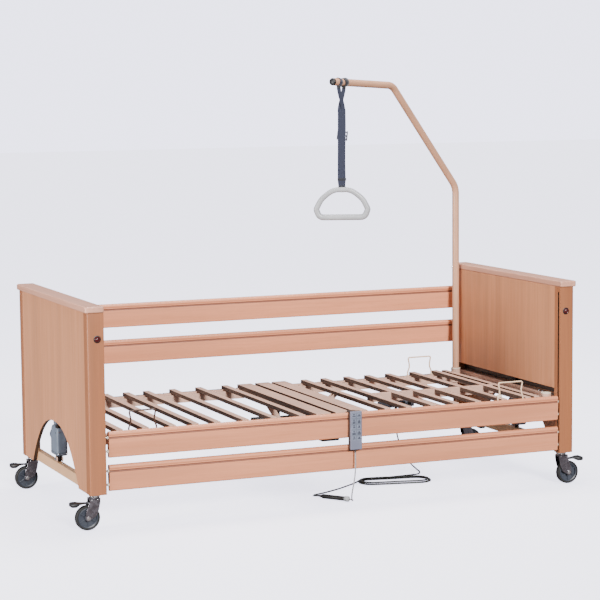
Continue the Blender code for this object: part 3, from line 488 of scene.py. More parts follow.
def make_metal(name, colour, roughness=0.32):
    """Plated or ground steel with a soft cloudy sheen and fine scratches."""
    metal = Paint(name, colour, roughness, 1.0)
    cloud = metal.noise(70.0, 4.0)
    scratch = metal.noise(1.0, 2.0, 0.5, metal.mapped((60.0, 1400.0, 1400.0)))
    base = metal.mix(metal.ramp(cloud, 0.3, 0.7), tint(colour, 0.86), tint(colour, 1.06))
    rough = metal.ramp(cloud, 0.3, 0.7, roughness - 0.07, roughness + 0.12)
    return metal.finish(base, scratch, 0.00003, 0.5, rough)


def make_plastic(name, colour, roughness=0.45, grain=0.00005):
    """Moulded plastic with an eroded-spark grain and slight handling marks."""
    plastic = Paint(name, colour, roughness)
    fine = plastic.noise(1600.0, 2.0)
    cloud = plastic.noise(22.0, 4.0)
    base = plastic.mix(plastic.ramp(cloud, 0.3, 0.7), tint(colour, 0.92), tint(colour, 1.05))
    rough = plastic.ramp(cloud, 0.3, 0.7, roughness - 0.06, roughness + 0.08)
    return plastic.finish(base, fine, grain, 0.6, rough)


def make_rubber(name, colour, roughness=0.68):
    """Rubber with fine pitting and a little dust."""
    rubber = Paint(name, colour, roughness)
    dust = rubber.noise(90.0, 6.0, 0.7)
    pits = rubber.noise(1100.0, 2.0)
    base = rubber.mix(rubber.ramp(dust, 0.50, 0.80, 0.0, 0.5), colour, tint(colour, 2.2))
    rough = rubber.ramp(dust, 0.3, 0.8, roughness - 0.08, roughness + 0.12)
    return rubber.finish(base, pits, 0.00008, 0.5, rough)


def make_webbing(name, colour, turn):
    """Woven strap: a twill of threads across the band and fine ribs along it."""
    cloth = Paint(name, colour, 0.78)
    cloth.set("Sheen Weight", 0.35)
    cloth.set("Sheen Roughness", 0.5)
    rotated = cloth.mapped((1, 1, 1), turn)
    ribs = cloth.wave("Z", 110.0, 0.0, rotated)
    cords = cloth.wave("X", 85.0, 0.4, rotated)
    weave = cloth.combine("MULTIPLY", ribs, cords)
    fuzz = cloth.noise(500.0, 3.0)
    base = cloth.mix(weave, tint(colour, 0.62), tint(colour, 1.35))
    base = cloth.mix(cloth.ramp(fuzz, 0.5, 0.8, 0.0, 0.35), base, tint(colour, 1.9))
    return cloth.finish(base, weave, 0.0004, 0.8)


STRAP_TURN = math.radians(-23)
panel_wood = make_wood("panel_wood", (0.61, 0.268, 0.132), 2)
post_wood = make_wood("post_wood", (0.34, 0.122, 0.048), 2)
cap_wood = make_wood("cap_wood", (0.62, 0.320, 0.225), 1)
rail_wood = make_wood("rail_wood", (0.70, 0.275, 0.145), 0)
# painted shade: dark wood for the shade in the rails' coves and in the gaps between the panels and the
# posts
painted_shade_groove_wood = make_wood("painted_shade_groove_wood", (0.24, 0.090, 0.052), 0)
# painted shade: near-black wood on the boards' edges and the posts' undersides, which lie in shadow
painted_shade_edge_wood = make_wood("painted_shade_edge_wood", (0.040, 0.019, 0.012), 1)
# painted shade: near-black wood for the shadowed recess behind the boards and the insides of the rails'
# guide slots
painted_shade_wood = make_wood("dark_shade_sheet", (0.022, 0.013, 0.010), 1)
beige_coat = make_coat("beige_coat", (0.57, 0.360, 0.275))
painted_shade_coat = make_coat("painted_shade_coat", (0.090, 0.050, 0.036))  # painted shade on the sides and undersides of the slats, which lie in shadow
# painted light: a lighter, more orange copy of the beige coat for the chassis bars, which sit in shadow
# under the boards
painted_light_chassis_coat = make_coat("painted_light_chassis_coat", (0.72, 0.420, 0.230))
pole_coat = make_coat("pole_coat", (0.56, 0.300, 0.185), 0.34)
cream_coat = make_coat("cream_coat", (0.72, 0.52, 0.36))
bronze_coat = make_coat("bronze_coat", (0.055, 0.026, 0.016), 0.40)
dark_metal = make_metal("dark_metal", (0.035, 0.030, 0.030), 0.38)
zinc_metal = make_metal("zinc_metal", (0.55, 0.56, 0.60), 0.30)
bright_metal = make_metal("bright_metal", (0.78, 0.78, 0.80), 0.20)
# painted reflection: the plated fork is darkened and tinted mauve as if it mirrored a dark brown floor
painted_reflection_fork_metal = make_metal("painted_reflection_fork_metal", (0.240, 0.228, 0.262), 0.24)
cream_plastic = make_plastic("cream_plastic", (0.70, 0.62, 0.50))
motor_plastic = make_plastic("motor_grey", (0.150, 0.185, 0.245))
dark_plastic = make_plastic("dark_plastic", (0.009, 0.009, 0.011))
hub_plastic = make_plastic("hub_grey", (0.034, 0.041, 0.058), 0.40)
button_plastic = make_plastic("button_red", (0.060, 0.004, 0.005), 0.25, 0.00001)
grip_plastic = make_plastic("grip_white", (0.40, 0.41, 0.43), 0.36, 0.00003)
handset_plastic = make_plastic("handset_grey", (0.150, 0.160, 0.225), 0.42)
handset_dark = make_plastic("handset_dark", (0.028, 0.020, 0.020), 0.45)
key_field = make_plastic("key_field", (0.130, 0.150, 0.200), 0.40, 0.00002)
key_face = make_plastic("key_face", (0.170, 0.192, 0.262), 0.40, 0.00002)
symbol_ink = make_plastic("symbol_ink", (0.004, 0.007, 0.016), 0.50, 0.00001)
thread = make_plastic("thread", (0.060, 0.070, 0.120), 0.7, 0.00001)
tyre_rubber = make_rubber("tyre_black", (0.006, 0.006, 0.007))
cord_light = make_rubber("cord_light", (0.260, 0.262, 0.275), 0.45)
cord_dark = make_rubber("cord_dark", (0.026, 0.029, 0.028), 0.42)
sleeve_rubber = make_rubber("sleeve_grey", (0.010, 0.010, 0.011), 0.50)
strap_cloth = make_webbing("strap_cloth", (0.013, 0.018, 0.045), -STRAP_TURN)
strap_dark = make_webbing("strap_dark", (0.008, 0.010, 0.020), -STRAP_TURN)

SLOT_SKINS = {
    "board_wood": panel_wood, "cap_wood": cap_wood, "post_wood": post_wood, "rail_wood": rail_wood,
    "beige_steel": beige_coat, "dark_steel": dark_metal, "zinc_steel": zinc_metal,
    "motor_plastic": motor_plastic, "drive_plastic": dark_plastic, "button_plastic": button_plastic,
    "pedal_plastic": dark_plastic, "tyre_rubber": tyre_rubber, "grip_plastic": grip_plastic,
    "handset_plastic": handset_plastic, "connector_plastic": sleeve_rubber, "cord_rubber": cord_dark,
    "webbing": strap_cloth,
}
for node, made in frame["nodes"].items():
    made.data.materials.clear()
    made.data.materials.append(SLOT_SKINS[SLOT_OF[node]])


# ---- cords ------------------------------------------------------------------------------------
HANDSET_CORD = 0.0055
LEAD_CORD = 0.0065
HANDSET_ROUTE = [
    (0.046, -0.5135, 0.2300),
    (0.046, -0.5150, 0.2000),
    (0.045, -0.5165, 0.1650),
    (0.040, -0.5190, 0.1250),
    (0.033, -0.5190, 0.0880),
    (0.032, -0.5080, 0.0540),
    (0.042, -0.4850, 0.0290),
    (0.056, -0.4600, 0.0170),
    (0.067, -0.4350, 0.0135),
    (0.0641, -0.4126, 0.0130),
]
SLEEVE_START = Vector((0.052, -0.393, 0.0125))
SLEEVE_END = Vector((-0.009, -0.294, 0.0100))
LEAD_ROUTE = [
    (-0.0190, -0.2777, 0.0097),
    (-0.0260, -0.2600, 0.0070),
    (-0.0250, -0.2400, 0.0040),
    (-0.0120, -0.2250, 0.0036),
    (0.0200, -0.2140, 0.0036),
    (0.0700, -0.1900, 0.0036),
    (0.1370, -0.1500, 0.0036),
    (0.2000, -0.1050, 0.0036),
    (0.2420, -0.0800, 0.0060),
]
RISER_ROUTE = [
    (0.560, -0.040, 0.0100),
    (0.590, -0.005, 0.0050),
    (0.615, 0.040, 0.0040),
    (0.622, 0.090, 0.0080),
    (0.612, 0.135, 0.0300),
    (0.592, 0.166, 0.0800),
    (0.576, 0.183, 0.1400),
    (0.570, 0.190, 0.2000),
    (0.570, 0.190, 0.2450),
    (0.570, 0.190, 0.2640),
]
HANK_CENTRE = Vector((0.421, -0.103, 0.0))
HANK_ANGLE = math.radians(-12)
HANK_TURNS = 4.15
HANK_START = -0.08  # the lead joins the hank just before the far run, as a share of a turn
HANK_STRAIGHT = 0.100  # half of a straight run
HANK_RADIUS = 0.0645  # at the outer fold
HANK_PITCH = 0.0070
HANK_LAYER = 3  # turns in the bottom layer
HANK_STEPS = 30  # points in a turn
SPLIT_HEIGHT = 0.10  # the handset's cord is made as two pieces, split where it drops below this height


def cord_piece(name, route, diameter, skin, nodes, ride=None):
    """One run of a cord that rides on a body, or stays fixed where it is."""
    piece = tube(route, diameter / 2, skin, 12)
    piece.name = name
    if ride:
        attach(piece, ride)
    else:
        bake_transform(piece)
    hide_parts(*nodes)


def make_handset_cord():
    points = smooth_route(HANDSET_ROUTE, 2 * HANDSET_CORD)
    split = next(i for i, p in enumerate(points) if p.z < SPLIT_HEIGHT)
    for name, route, bodies, lay in (
        ("upper", points[:split + 1], ("near_upper", "platform"), "hanging"),
        ("lower", points[split:], ("platform", "chassis"), "loose"),
    ):
        cord_piece(
            "handset_cord_" + name, route, HANDSET_CORD, cord_light, ["handset_cord"],
        )


def hank_point(turn):
    """A point on the hank: long flat turns that close in, and then open out again in a second layer."""
    inward = min(turn, HANK_LAYER - 0.5)
    outward = max(0.0, turn - HANK_LAYER + 0.5)
    radius = HANK_RADIUS - HANK_PITCH * (inward - 0.75 * outward)
    climb = min(1.0, max(0.0, (turn - HANK_LAYER + 0.9) / 0.5))
    lift = 0.0036 + 0.0072 * climb * climb * (3 - 2 * climb)
    walked = (turn % 1.0) * (4 * HANK_STRAIGHT + math.tau * radius)
    run = 2 * HANK_STRAIGHT
    fold = math.pi * radius
    way = 1
    if walked >= run + fold:
        walked -= run + fold
        way = -1
    if walked < run:
        along, across = walked - HANK_STRAIGHT, radius
    else:
        angle = math.pi / 2 - (walked - run) / radius
        along, across = HANK_STRAIGHT + radius * math.cos(angle), radius * math.sin(angle)
    across = way * across + 0.0016 * math.sin(9 * turn) * climb
    return HANK_CENTRE + Matrix.Rotation(HANK_ANGLE, 4, "Z") @ Vector((way * along, across, lift))


def make_lead():
    """One line from the connector through the hank to the foot of the riser, and the riser."""
    first = round(HANK_START * HANK_STEPS)
    last = round(HANK_TURNS * HANK_STEPS)
    turns = [hank_point(k / HANK_STEPS) for k in range(first, last)]
    route = smooth_route([*LEAD_ROUTE, *turns, RISER_ROUTE[0]], 1.6 * LEAD_CORD)
    nodes = ["lead_cord", "lead_hank"]
    cord_piece("lead", route, LEAD_CORD, cord_dark, nodes, ride="chassis")
    rise = smooth_route(RISER_ROUTE, 2 * LEAD_CORD)
    cord_piece(
        "lead_riser_cord", rise, LEAD_CORD, cord_dark, ["lead_riser"],
    )


make_handset_cord()
make_lead()


# ---- end boards -------------------------------------------------------------------------------
POST_LOW, POST_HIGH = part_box("head_far_post")
BOARD_BOTTOM = POST_LOW.z
BOARD_TOP = POST_HIGH.z
PIN_Y = 0.4845  # the middle of the slots that guide the rails' pins
# The sheet behind each board is painted shade: a near-black sheet where the recess under the cladding lies
# in shadow.
SHADE_SHEET_INNER, SHADE_SHEET_OUTER = 1.0605, 1.0730
SHADE_SHEET_BOTTOM, SHADE_SHEET_TOP = 0.3930, 0.4700
SHADE_SHEET_HALF = 0.4510


def make_board(end, name):
    panel = refined(name + "_board_panel", panel_wood, 0.0008)
    # painted shade on the panel's edges, the arch's inner edge among them
    paint_faces(panel, painted_shade_edge_wood, lambda n, c: abs(n.x) < 0.5 and c.z < BOARD_TOP - 0.01)
    refined(name + "_board_cladding", panel_wood, 0.0009)
    low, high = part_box(name + "_board_cap")
    inner, outer = sorted((low.x, high.x), key=abs)
    corner = 0.012
    outline = [(inner, low.y)]
    for y, start in ((low.y + corner, -90), (high.y - corner, 0)):
        outline += [(outer - end * (corner - a), b) for a, b in arc((0, y), corner, start, start + 90, 6)]
    outline.append((inner, high.y))
    cap = bevelled(prism(outline, "Z", low.z, high.z, cap_wood), 0.0050, 4)
    keep(cap, name + "_cap", "platform", name + "_board_cap")
    # painted shade: thin dark strips in the shadowed gaps where the panel meets the posts
    seam_shades = [
        rounded_box(
            (end * (POST_HIGH.x - 0.0060), side * (POST_LOW.y - 0.0024), BOARD_BOTTOM + 0.001),
            (end * (POST_HIGH.x - 0.0011), side * (POST_LOW.y + 0.0002), BOARD_TOP - 0.001),
            0.0003, painted_shade_groove_wood, 1,
        )
        for side in (NEAR, FAR)
    ]
    keep(seam_shades, name + "_board_seam_shades", "platform", slot="board_wood")
    # painted shade: a near-black sheet in the shadowed recess below the cladding
    shade_sheet_low = (end * SHADE_SHEET_INNER, -SHADE_SHEET_HALF, SHADE_SHEET_BOTTOM)
    shade_sheet_high = (end * SHADE_SHEET_OUTER, SHADE_SHEET_HALF, SHADE_SHEET_TOP)
    shade_sheet = rounded_box(shade_sheet_low, shade_sheet_high, 0.001, painted_shade_wood, 1)
    keep(shade_sheet, name + "_board_shade_sheet", "platform", slot="board_wood")


def make_guide(name, end, side):
    """Painted shade in the slot that guides the rails' pins: near-black walls where the slot lies in
    shadow.
    """
    walls = []
    for inner, outer, y, thick in (
        (0.0110, 0.0117, PIN_Y, 0.0090), (0.0002, 0.0110, PIN_Y - side * 0.0046, 0.0006),
        (0.0002, 0.0110, PIN_Y + side * 0.0046, 0.0006),
    ):
        walls.append(rounded_box(
            (end * (POST_LOW.x + inner), side * (y - thick / 2), BOARD_BOTTOM + 0.006),
            (end * (POST_LOW.x + outer), side * (y + thick / 2), BOARD_TOP - 0.024),
            0.0002, painted_shade_wood, 1,
        ))
    keep(walls, name + "_guide", "platform", slot="drive_plastic")


def make_button(name, side):
    low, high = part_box(name + "_button")
    radius = (high.x - low.x) / 2
    depth = high.y - low.y
    middle = (low + high) / 2
    profile = [(0, 0.001), (radius - 0.001, 0.001), (radius, 0.002), (radius, depth - 0.0036)]
    profile += [(radius - 0.0012, depth - 0.0020), (radius - 0.0030, depth - 0.0012)]
    profile += [(radius - 0.0042, depth - 0.0018), (radius - 0.0060, depth - 0.0008), (0, depth)]
    place = (middle.x, side * min(abs(low.y), abs(high.y)), middle.z)
    push = turned(profile, place, (0, side, 0), button_plastic)
    keep(push, name + "_push", name + "_button", name + "_button")
    ring = mm((0.8, -1), (4, -1), (4, 1), (3, 1.8), (0.8, 1.8))
    ring = [(radius + a, b) for a, b in ring]
    bezel = turned(ring, (middle.x, side * POST_HIGH.y, middle.z), (0, side, 0), dark_plastic)
    keep(bezel, name + "_bezel", "platform", slot="button_plastic")


for end, name in ENDS:
    make_board(end, name)
    for side, side_name in SIDES:
        corner = name + "_" + side_name
        post = refined(corner + "_post", post_wood, 0.0016, 3)
        # painted shade on the posts' undersides
        paint_faces(post, painted_shade_edge_wood, lambda n, c: n.z < -0.8)
        make_guide(corner, end, side)
        make_button(corner, side)


# ---- side rails -------------------------------------------------------------------------------
RAIL_START, RAIL_STOP = -1.009, 1.017
GROOVE_DROP = 0.0245  # from a rail's top to the middle of its cove
GROOVE_RADIUS = 0.0046


def rail_outline(height, depth):
    """Half-round bead, cove and gently crowned face on both sides, as (depth, height)."""
    lower = 0.0055  # radius of the lower edge
    fall = 0.0040  # how far the face has fallen back at its lower edge
    groove = height - GROOVE_DROP
    points = arc((depth - fall - lower, lower), lower, -90, -10, 4)
    steps = 7
    start, stop = 0.009, groove - GROOVE_RADIUS
    for i in range(steps + 1):
        share = i / steps
        points.append((depth - 0.0002 - fall * (1 - share) ** 2, start + (stop - start) * share))
    points += arc((depth + 0.0004, groove), GROOVE_RADIUS, 250, 110, 8)
    bead_low = groove + GROOVE_RADIUS
    bead = (height - bead_low) / 2
    points += arc((depth - bead, bead_low + bead), bead - 0.0001, -48, 88, 10)
    return points + [(depth - a, b) for a, b in reversed(points)]


def make_rail(name, side):
    low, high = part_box(name + "_rail")
    inner = side * min(abs(low.y), abs(high.y))
    outline = [(inner + side * a, low.z + b) for a, b in rail_outline(high.z - low.z, high.y - low.y)]
    bar = bevelled(prism(outline, "X", RAIL_START, RAIL_STOP, rail_wood), 0.0012, 2, 60)
    groove = high.z - GROOVE_DROP
    # painted shade in the cove
    paint_faces(bar, painted_shade_groove_wood, lambda n, c: abs(c.z - groove) < GROOVE_RADIUS * 0.96 and abs(n.x) < 0.5)
    pins = []
    collar = mm((4.1, 0), (6.2, 0), (6.6, 1.2), (6.2, 5), (4.1, 5.5))
    pin_y = side * PIN_Y
    for end, x in ((FOOT, RAIL_START), (HEAD, RAIL_STOP)):
        for z in (low.z + 0.025, high.z - 0.025):
            pin = [(x - end * 0.001, pin_y, z), (end * abs(low.x), pin_y, z)]
            pins.append(tube(pin, 0.0040, bright_metal, 14))
            pins.append(turned(collar, (x, pin_y, z), (end, 0, 0), cream_plastic, 18))
    body = BODY_OF[name + "_rail"]
    keep(bar, name + "_bar", body, name + "_rail")
    keep(pins, name + "_rail_pins", body, slot="rail_wood")


for side, side_name in SIDES:
    for level in ("upper", "lower"):
        make_rail(side_name + "_" + level, side)


# ---- castors ----------------------------------------------------------------------------------
CASTOR_X = 1.0585
CASTOR_Y = 0.45
AXLE_TRAIL = 0.031
AXLE_Z = 0.050
CHEEK_Y = 0.0190  # a cheek's outer face, from the fork's middle
WHEEL_HALF = 0.0125


def mirrored(profile):
    """A profile from its lower half."""
    return profile + [(a, -b) for a, b in reversed(profile) if b]


def make_wheel(name):
    low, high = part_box(name + "_wheel")
    centre = (low + high) / 2
    radius = (high.z - low.z) / 2
    edge = 0.0042
    tread = [(0.0405, -WHEEL_HALF + 0.0008), (0.0430, -WHEEL_HALF)]
    tread += arc((radius - edge, -WHEEL_HALF + edge), edge, -80, -8, 4)
    tread.append((radius, 0.0))
    rim = [(0.0355, -WHEEL_HALF + 0.0015), (0.0385, -WHEEL_HALF + 0.0002), (0.0404, -WHEEL_HALF + 0.0012)]
    web = mm((11.5, -3), (36, -4.2))
    boss = mm((4.4, -13.2), (9.5, -13.2), (11.8, -11), (12.5, 0))
    parts = []
    for profile, skin, sides in (
        (tread, tyre_rubber, 56), (rim, hub_plastic, 48), (web, hub_plastic, 48), (boss, hub_plastic, 32),
    ):
        parts.append(turned(mirrored(profile), centre, (0, 1, 0), skin, sides))
    for i in range(6):
        for face in (-1, 1):
            spoke = rounded_box(
                (0.0105, face * 0.0025, -0.0021), (0.0365, face * 0.0092, 0.0021), 0.0008, hub_plastic, 2,
            )
            turn = Matrix.Rotation(math.tau * (i + 0.5) / 6, 4, "Y")
            spoke.data.transform(Matrix.Translation(centre) @ turn)
            parts.append(spoke)
    keep(parts, name + "_wheel_assembly", name + "_wheel", name + "_wheel")


def cheek_outline():
    """A fork cheek seen from the side, as (trail, height): broad at the crown, round at the axle."""
    points = mm((-18.8, 128.5), (-18.8, 113), (-12, 82), (-1, 56))
    points += arc((AXLE_TRAIL, AXLE_Z), 0.0125, 205, 372, 9)
    return points + mm((40, 78), (28.5, 106), (25, 115), (25, 128.5))


def make_fork(name, end, side):
    x = end * CASTOR_X
    y = side * CASTOR_Y
    parts = []
    outline = [(x + end * a, b) for a, b in cheek_outline()]
    for cheek in (-1, 1):
        face = y + cheek * CHEEK_Y
        out = Vector((0, cheek, 0))
        # painted reflection on the plated cheeks
        plate = prism(outline, "Y", face - cheek * 0.0026, face, painted_reflection_fork_metal)
        parts.append(bevelled(plate, 0.0009, 2, 50))
        bolt = Vector((x + end * AXLE_TRAIL, face, AXLE_Z))
        cover = mm((0, 0), (7.8, 0), (7.8, 0.8), (0, 0.8))
        parts.append(turned(cover, bolt, out, bright_metal, 28))
        parts.append(hex_head(bolt + out * 0.0006, out, 0.0042, bright_metal))
        for rib in (-0.010, 0.016):
            place = (x + end * rib, face - cheek * 0.0001, 0.1225)
            parts.append(screw_head(place, out, 0.0026, bright_metal))
    crown_low = (x - end * 0.0190, y - CHEEK_Y, 0.1215)
    crown_high = (x + end * 0.0252, y + CHEEK_Y, 0.1290)
    # painted reflection on the plated crown
    parts.append(rounded_box(crown_low, crown_high, 0.0024, painted_reflection_fork_metal, 3))
    race = mm(
        (0, 128.5), (17.8, 128.5), (19.6, 130), (20.5, 132.2), (19.6, 133.8), (21.2, 134.4),
        (22.6, 136.2), (22.6, 139), (21.4, 141.2), (18.8, 142), (18.2, 144.5), (0, 144.6),
    )
    parts.append(turned(race, (x, y, 0), UP, bright_metal, 44))
    parts.append(tube([(x, y, 0.140), (x, y, 0.1718)], 0.0051, bright_metal, 18))
    keep(parts, name + "_castor_fork", name + "_swivel", name + "_fork")


def make_pedal(name, end, side):
    """The brake pedal: a bent arm that widens into a ribbed pad."""
    x = end * CASTOR_X
    y = side * CASTOR_Y
    rings = []
    for along, height, half, thick in mm(
        (19, 107.2, 14, 2), (30, 108.4, 13.6, 2.2), (48, 109.4, 12, 2.4), (64, 109.2, 15, 4),
        (72, 108, 20, 6.6), (78, 106.2, 22.2, 8.8), (95, 106, 22, 8.8), (99.5, 106, 20.5, 7.4),
        (100.8, 106, 17, 4.8),
    ):
        outline = rounded_outline((-half, -thick), (half, thick), thick * 0.7, 3)
        rings.append([(x + end * along, y + a, height + b) for a, b in outline])
    parts = [loft(rings, dark_plastic, smooth=50)]
    for i in range(5):
        rib_x = x + end * (0.0785 + 0.0038 * i)
        low, high = (rib_x - 0.0007, y - 0.0165, 0.1140), (rib_x + 0.0007, y + 0.0165, 0.1160)
        parts.append(rounded_box(low, high, 0.0004, dark_plastic, 1))
    hinge_x = x + end * 0.0265
    hinge = [(hinge_x, y - 0.0158, 0.109), (hinge_x, y + 0.0158, 0.109)]
    parts.append(tube(hinge, 0.0033, bright_metal, 16))
    keep(parts, name + "_brake_lever", name + "_pedal", name + "_pedal")


for end, side, corner in CORNERS:
    make_wheel(corner)
    make_fork(corner, end, side)
    make_pedal(corner, end, side)


# ---- chassis and lift -------------------------------------------------------------------------
LIFT_X = 1.0545
LIFT_Y = 0.05
MOTOR_X = 1.0440
MOTOR_NEAR = 0.034
MOTOR_FAR = 0.134


def make_lift(name, end):
    # painted light: the chassis takes the lighter copy of the beige coat
    refined(name + "_chassis", painted_light_chassis_coat, 0.0018, 3)
    x = end * LIFT_X
    y = -end * LIFT_Y
    low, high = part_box(name + "_lift_rod")
    rod = tube([(x, y, low.z), (x, y, high.z)], 0.0089, dark_metal, 28)
    keep([rod], name + "_spindle_tube", "chassis", name + "_lift_rod")
    foot = []
    for left, right in ((-0.0125, -0.0098), (0.0098, 0.0125)):
        ear_low, ear_high = (x + left, y - 0.0150, low.z), (x + right, y + 0.0150, low.z + 0.020)
        foot.append(rounded_box(ear_low, ear_high, 0.001, beige_coat, 2))
    bolt_z = low.z + 0.010
    foot.append(tube([(x - 0.0150, y, bolt_z), (x + 0.0150, y, bolt_z)], 0.0035, zinc_metal, 14))
    for way in (-1, 1):
        foot.append(hex_head((x + way * 0.0125, y, bolt_z), (way, 0, 0), 0.0060, zinc_metal))
        foot.append(screw_head((x, y + way * 0.060, low.z - 0.0003), UP, 0.0045, zinc_metal))
    keep(foot, name + "_spindle_foot", "chassis", slot="beige_steel")
    make_motor(name, end)
    refined(name + "_lift_beam", beige_coat, 0.0015)


def make_motor(name, end):
    """The geared motor: a rounded housing in two shells, a side cover and the outer tube."""
    turn = -end

    def place(x, y, z=0.0):
        return (end * x, turn * y, z)

    rings = []
    levels = mm((210, 6), (211.2, 2.8), (215, 0), (260, 0), (300, 0.5), (322, 4), (331, 9), (335, 16))
    for z, inset in levels:
        low = (1.0200 + inset, MOTOR_NEAR + inset)
        high = (1.0680 - inset * 0.6, MOTOR_FAR - inset)
        rings.append([place(a, b, z) for a, b in rounded_outline(low, high, 0.011, 5)])
    parts = [loft(rings, motor_plastic, smooth=35)]
    band = rounded_outline((1.0196, MOTOR_NEAR - 0.0004), (1.0684, MOTOR_FAR + 0.0004), 0.0114, 5)
    parts.append(loft([[place(a, b, z) for a, b in band] for z in (0.2225, 0.2237)], dark_plastic))
    cover = mm((0, 0), (25.5, 0), (25.5, 5), (24, 8.5), (20, 10.5), (0, 11.5))
    cover_place = place(MOTOR_X, MOTOR_FAR - 0.003, 0.290)
    parts.append(turned(cover, cover_place, (0, turn, 0), motor_plastic, 36))
    for z in (0.2195, 0.3120):
        for x in (1.0280, 1.0600):
            for y, way in ((MOTOR_NEAR, -turn), (MOTOR_FAR, turn)):
                parts.append(screw_head(place(x, y, z), (0, way, 0), 0.0028, zinc_metal))
    for y in (0.048, 0.120):
        for z in (0.2195, 0.3080):
            parts.append(screw_head(place(1.0678, y, z), (end, 0, 0), 0.0030, dark_plastic))
    lift = place(LIFT_X, LIFT_Y)
    outer = mm((9.6, 330), (13.8, 330), (13.8, 699.5), (13, 700), (9.6, 700))
    parts.append(turned(outer, lift, UP, dark_metal, 28))
    flange = place(1.0362, 0.0322, 0.3450), place(1.0718, 0.0678, 0.3612)
    parts.append(rounded_box(*flange, 0.0020, motor_plastic, 2))
    wiper = mm((9.4, 207.8), (14, 207.8), (16, 210.2), (9.4, 210.2))
    parts.append(turned(wiper, lift, UP, dark_plastic, 28))
    gland = mm((0, 0), (6, 0), (6, 6), (4.5, 10), (0, 10.4))
    parts.append(turned(gland, place(MOTOR_X, 0.112, 0.334), UP, dark_plastic, 20))
    keep(parts, name + "_motor_unit", "platform", name + "_lift_motor")


for end, end_name in ENDS:
    make_lift(end_name, end)


# ---- lying surface ----------------------------------------------------------------------------
HINGE_Z = 0.3645
HINGES = {"back": 0.175, "thigh": -0.125, "knee": -0.475}
BAR_OUTER = 0.4505
SURFACE_TOP = 0.392
SOCKET_X = 0.9975
SOCKET_Y = 0.425
RETAINER_Y = 0.4395
RETAINER_BENDS = (0.3940, 0.4150, 0.4300)  # heights of the bends in a retainer's legs
RETAINER_WIRE = 0.0032


def make_surface():
    base = refined("base_frame", beige_coat, 0.0013)
    slat_z = SURFACE_TOP - 0.02
    # painted shade on the sides of the seat slats
    paint_faces(base, painted_shade_coat, lambda n, c: abs(n.x) > 0.75 and c.z > slat_z and abs(c.x) < 0.9)
    for node in ("back_section", "thigh_section", "calf_section"):
        section = refined(node, beige_coat, 0.0013)
        # painted shade on every face of the section frames that looks along the bed or down
        paint_faces(section, painted_shade_coat, lambda n, c: abs(n.x) > 0.75 or n.z < -0.75)
    for name, x in HINGES.items():
        body = "thigh_rest" if name == "knee" else "platform"
        bolts = []
        for side in (NEAR, FAR):
            place = Vector((x, side * (BAR_OUTER - 0.0002), HINGE_Z))
            out = Vector((0, side, 0))
            bolts.append(washer(place, out, 0.0095, 0.0012))
            bolts.append(hex_head(place + out * 0.001, out, 0.0062, zinc_metal))
        keep(bolts, name + "_hinge_bolts", body, slot="zinc_steel")
    for end, end_name in ENDS:
        screws = []
        for side in (NEAR, FAR):
            for y in (0.285, 0.315):
                screws.append(hex_head((end * 1.045, side * y, 0.3885), UP, 0.0055, zinc_metal))
        keep(screws, end_name + "_beam_bolts", "platform", slot="zinc_steel")


def make_sockets():
    """A cream liner in each socket for the lifting pole."""
    liner = mm(
        (16.8, 398.1), (16.6, 397.5), (21, 397.5), (22.2, 399), (22.2, 401), (20.8, 402.2), (18, 402.2),
        (16.8, 401),
    )
    for side, side_name in SIDES:
        ring = turned(liner, (SOCKET_X, side * SOCKET_Y, 0.0), UP, cream_plastic, 40)
        keep(ring, side_name + "_socket_liner", "platform", slot="grip_plastic")


def make_knobs():
    """The cream knob that locks the near retainer of the backrest, and the dark one under the seat."""
    profile = mm((0, 0), (7, 0), (7, 2), (12, 3.2), (13.2, 5.5), (12.6, 9), (9, 11.6), (0, 12.4))
    knob = turned(profile, (0.779, -0.403, SURFACE_TOP - 0.0002), UP, cream_plastic, 32)
    keep(knob, "retainer_knob", "backrest", slot="grip_plastic")
    profile = mm((0, 0), (5, 0), (5, 6), (13, 8.5), (14.5, 12), (12.5, 16.5), (0, 18))
    knob = turned(profile, (-0.0755, 0.185, 0.3500), (-1, 0, 0), dark_plastic, 32)
    keep(knob, "release_knob", "platform", slot="drive_plastic")


def make_retainer(node, skin):
    """A wire hoop whose legs step inward, and a clip on the side bar at each foot."""
    low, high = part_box(node)
    x0, x1 = low.x + 0.0035, high.x - 0.0035
    y = RETAINER_Y * (NEAR if "near" in node else FAR)
    waist = x0 + 0.0085  # the legs step in to here
    first, second, third = RETAINER_BENDS
    left = [(x0, y, low.z), (x0, y, first), (waist, y, second), (waist, y, third)]
    left.append((x0 + 0.002, y, high.z - 0.0035))
    right = [(x0 + x1 - a, b, c) for a, b, c in reversed(left)]
    parts = [tube(rounded_route(left + right, 0.0072, 6), RETAINER_WIRE, skin, 14)]
    foot = mm((0, 0), (6.2, 0), (6.2, 3), (5, 4.6), (0, 4.8))
    for x in (x0, x1):
        parts.append(turned(foot, (x, y, low.z - 0.0004), UP, skin, 20))
    keep(parts, node + "_hoop", BODY_OF[node], node)


make_surface()
make_sockets()
make_knobs()
make_retainer("foot_near_retainer", bronze_coat)
for node in ("foot_far_retainer", "head_near_retainer", "head_far_retainer"):
    make_retainer(node, cream_coat)


# ---- drives and control unit ------------------------------------------------------------------
def make_drives():
    for kind in ("back", "leg"):
        refined(kind + "_drive", dark_plastic, 0.0016, 2, 50)
        refined(kind + "_drive_rod", zinc_metal, 0.0006, 2, 50)
        low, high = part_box(kind + "_drive")
        screws = []
        y = (low.y + high.y) / 2
        for side in (NEAR, FAR):
            for x in (low.x + 0.020, high.x - 0.020):
                for z in (0.262, 0.284):
                    screws.append(screw_head((x, y + side * 0.0218, z), (0, side, 0), 0.0024, zinc_metal))
        keep(screws, kind + "_drive_screws", "platform", slot="zinc_steel")


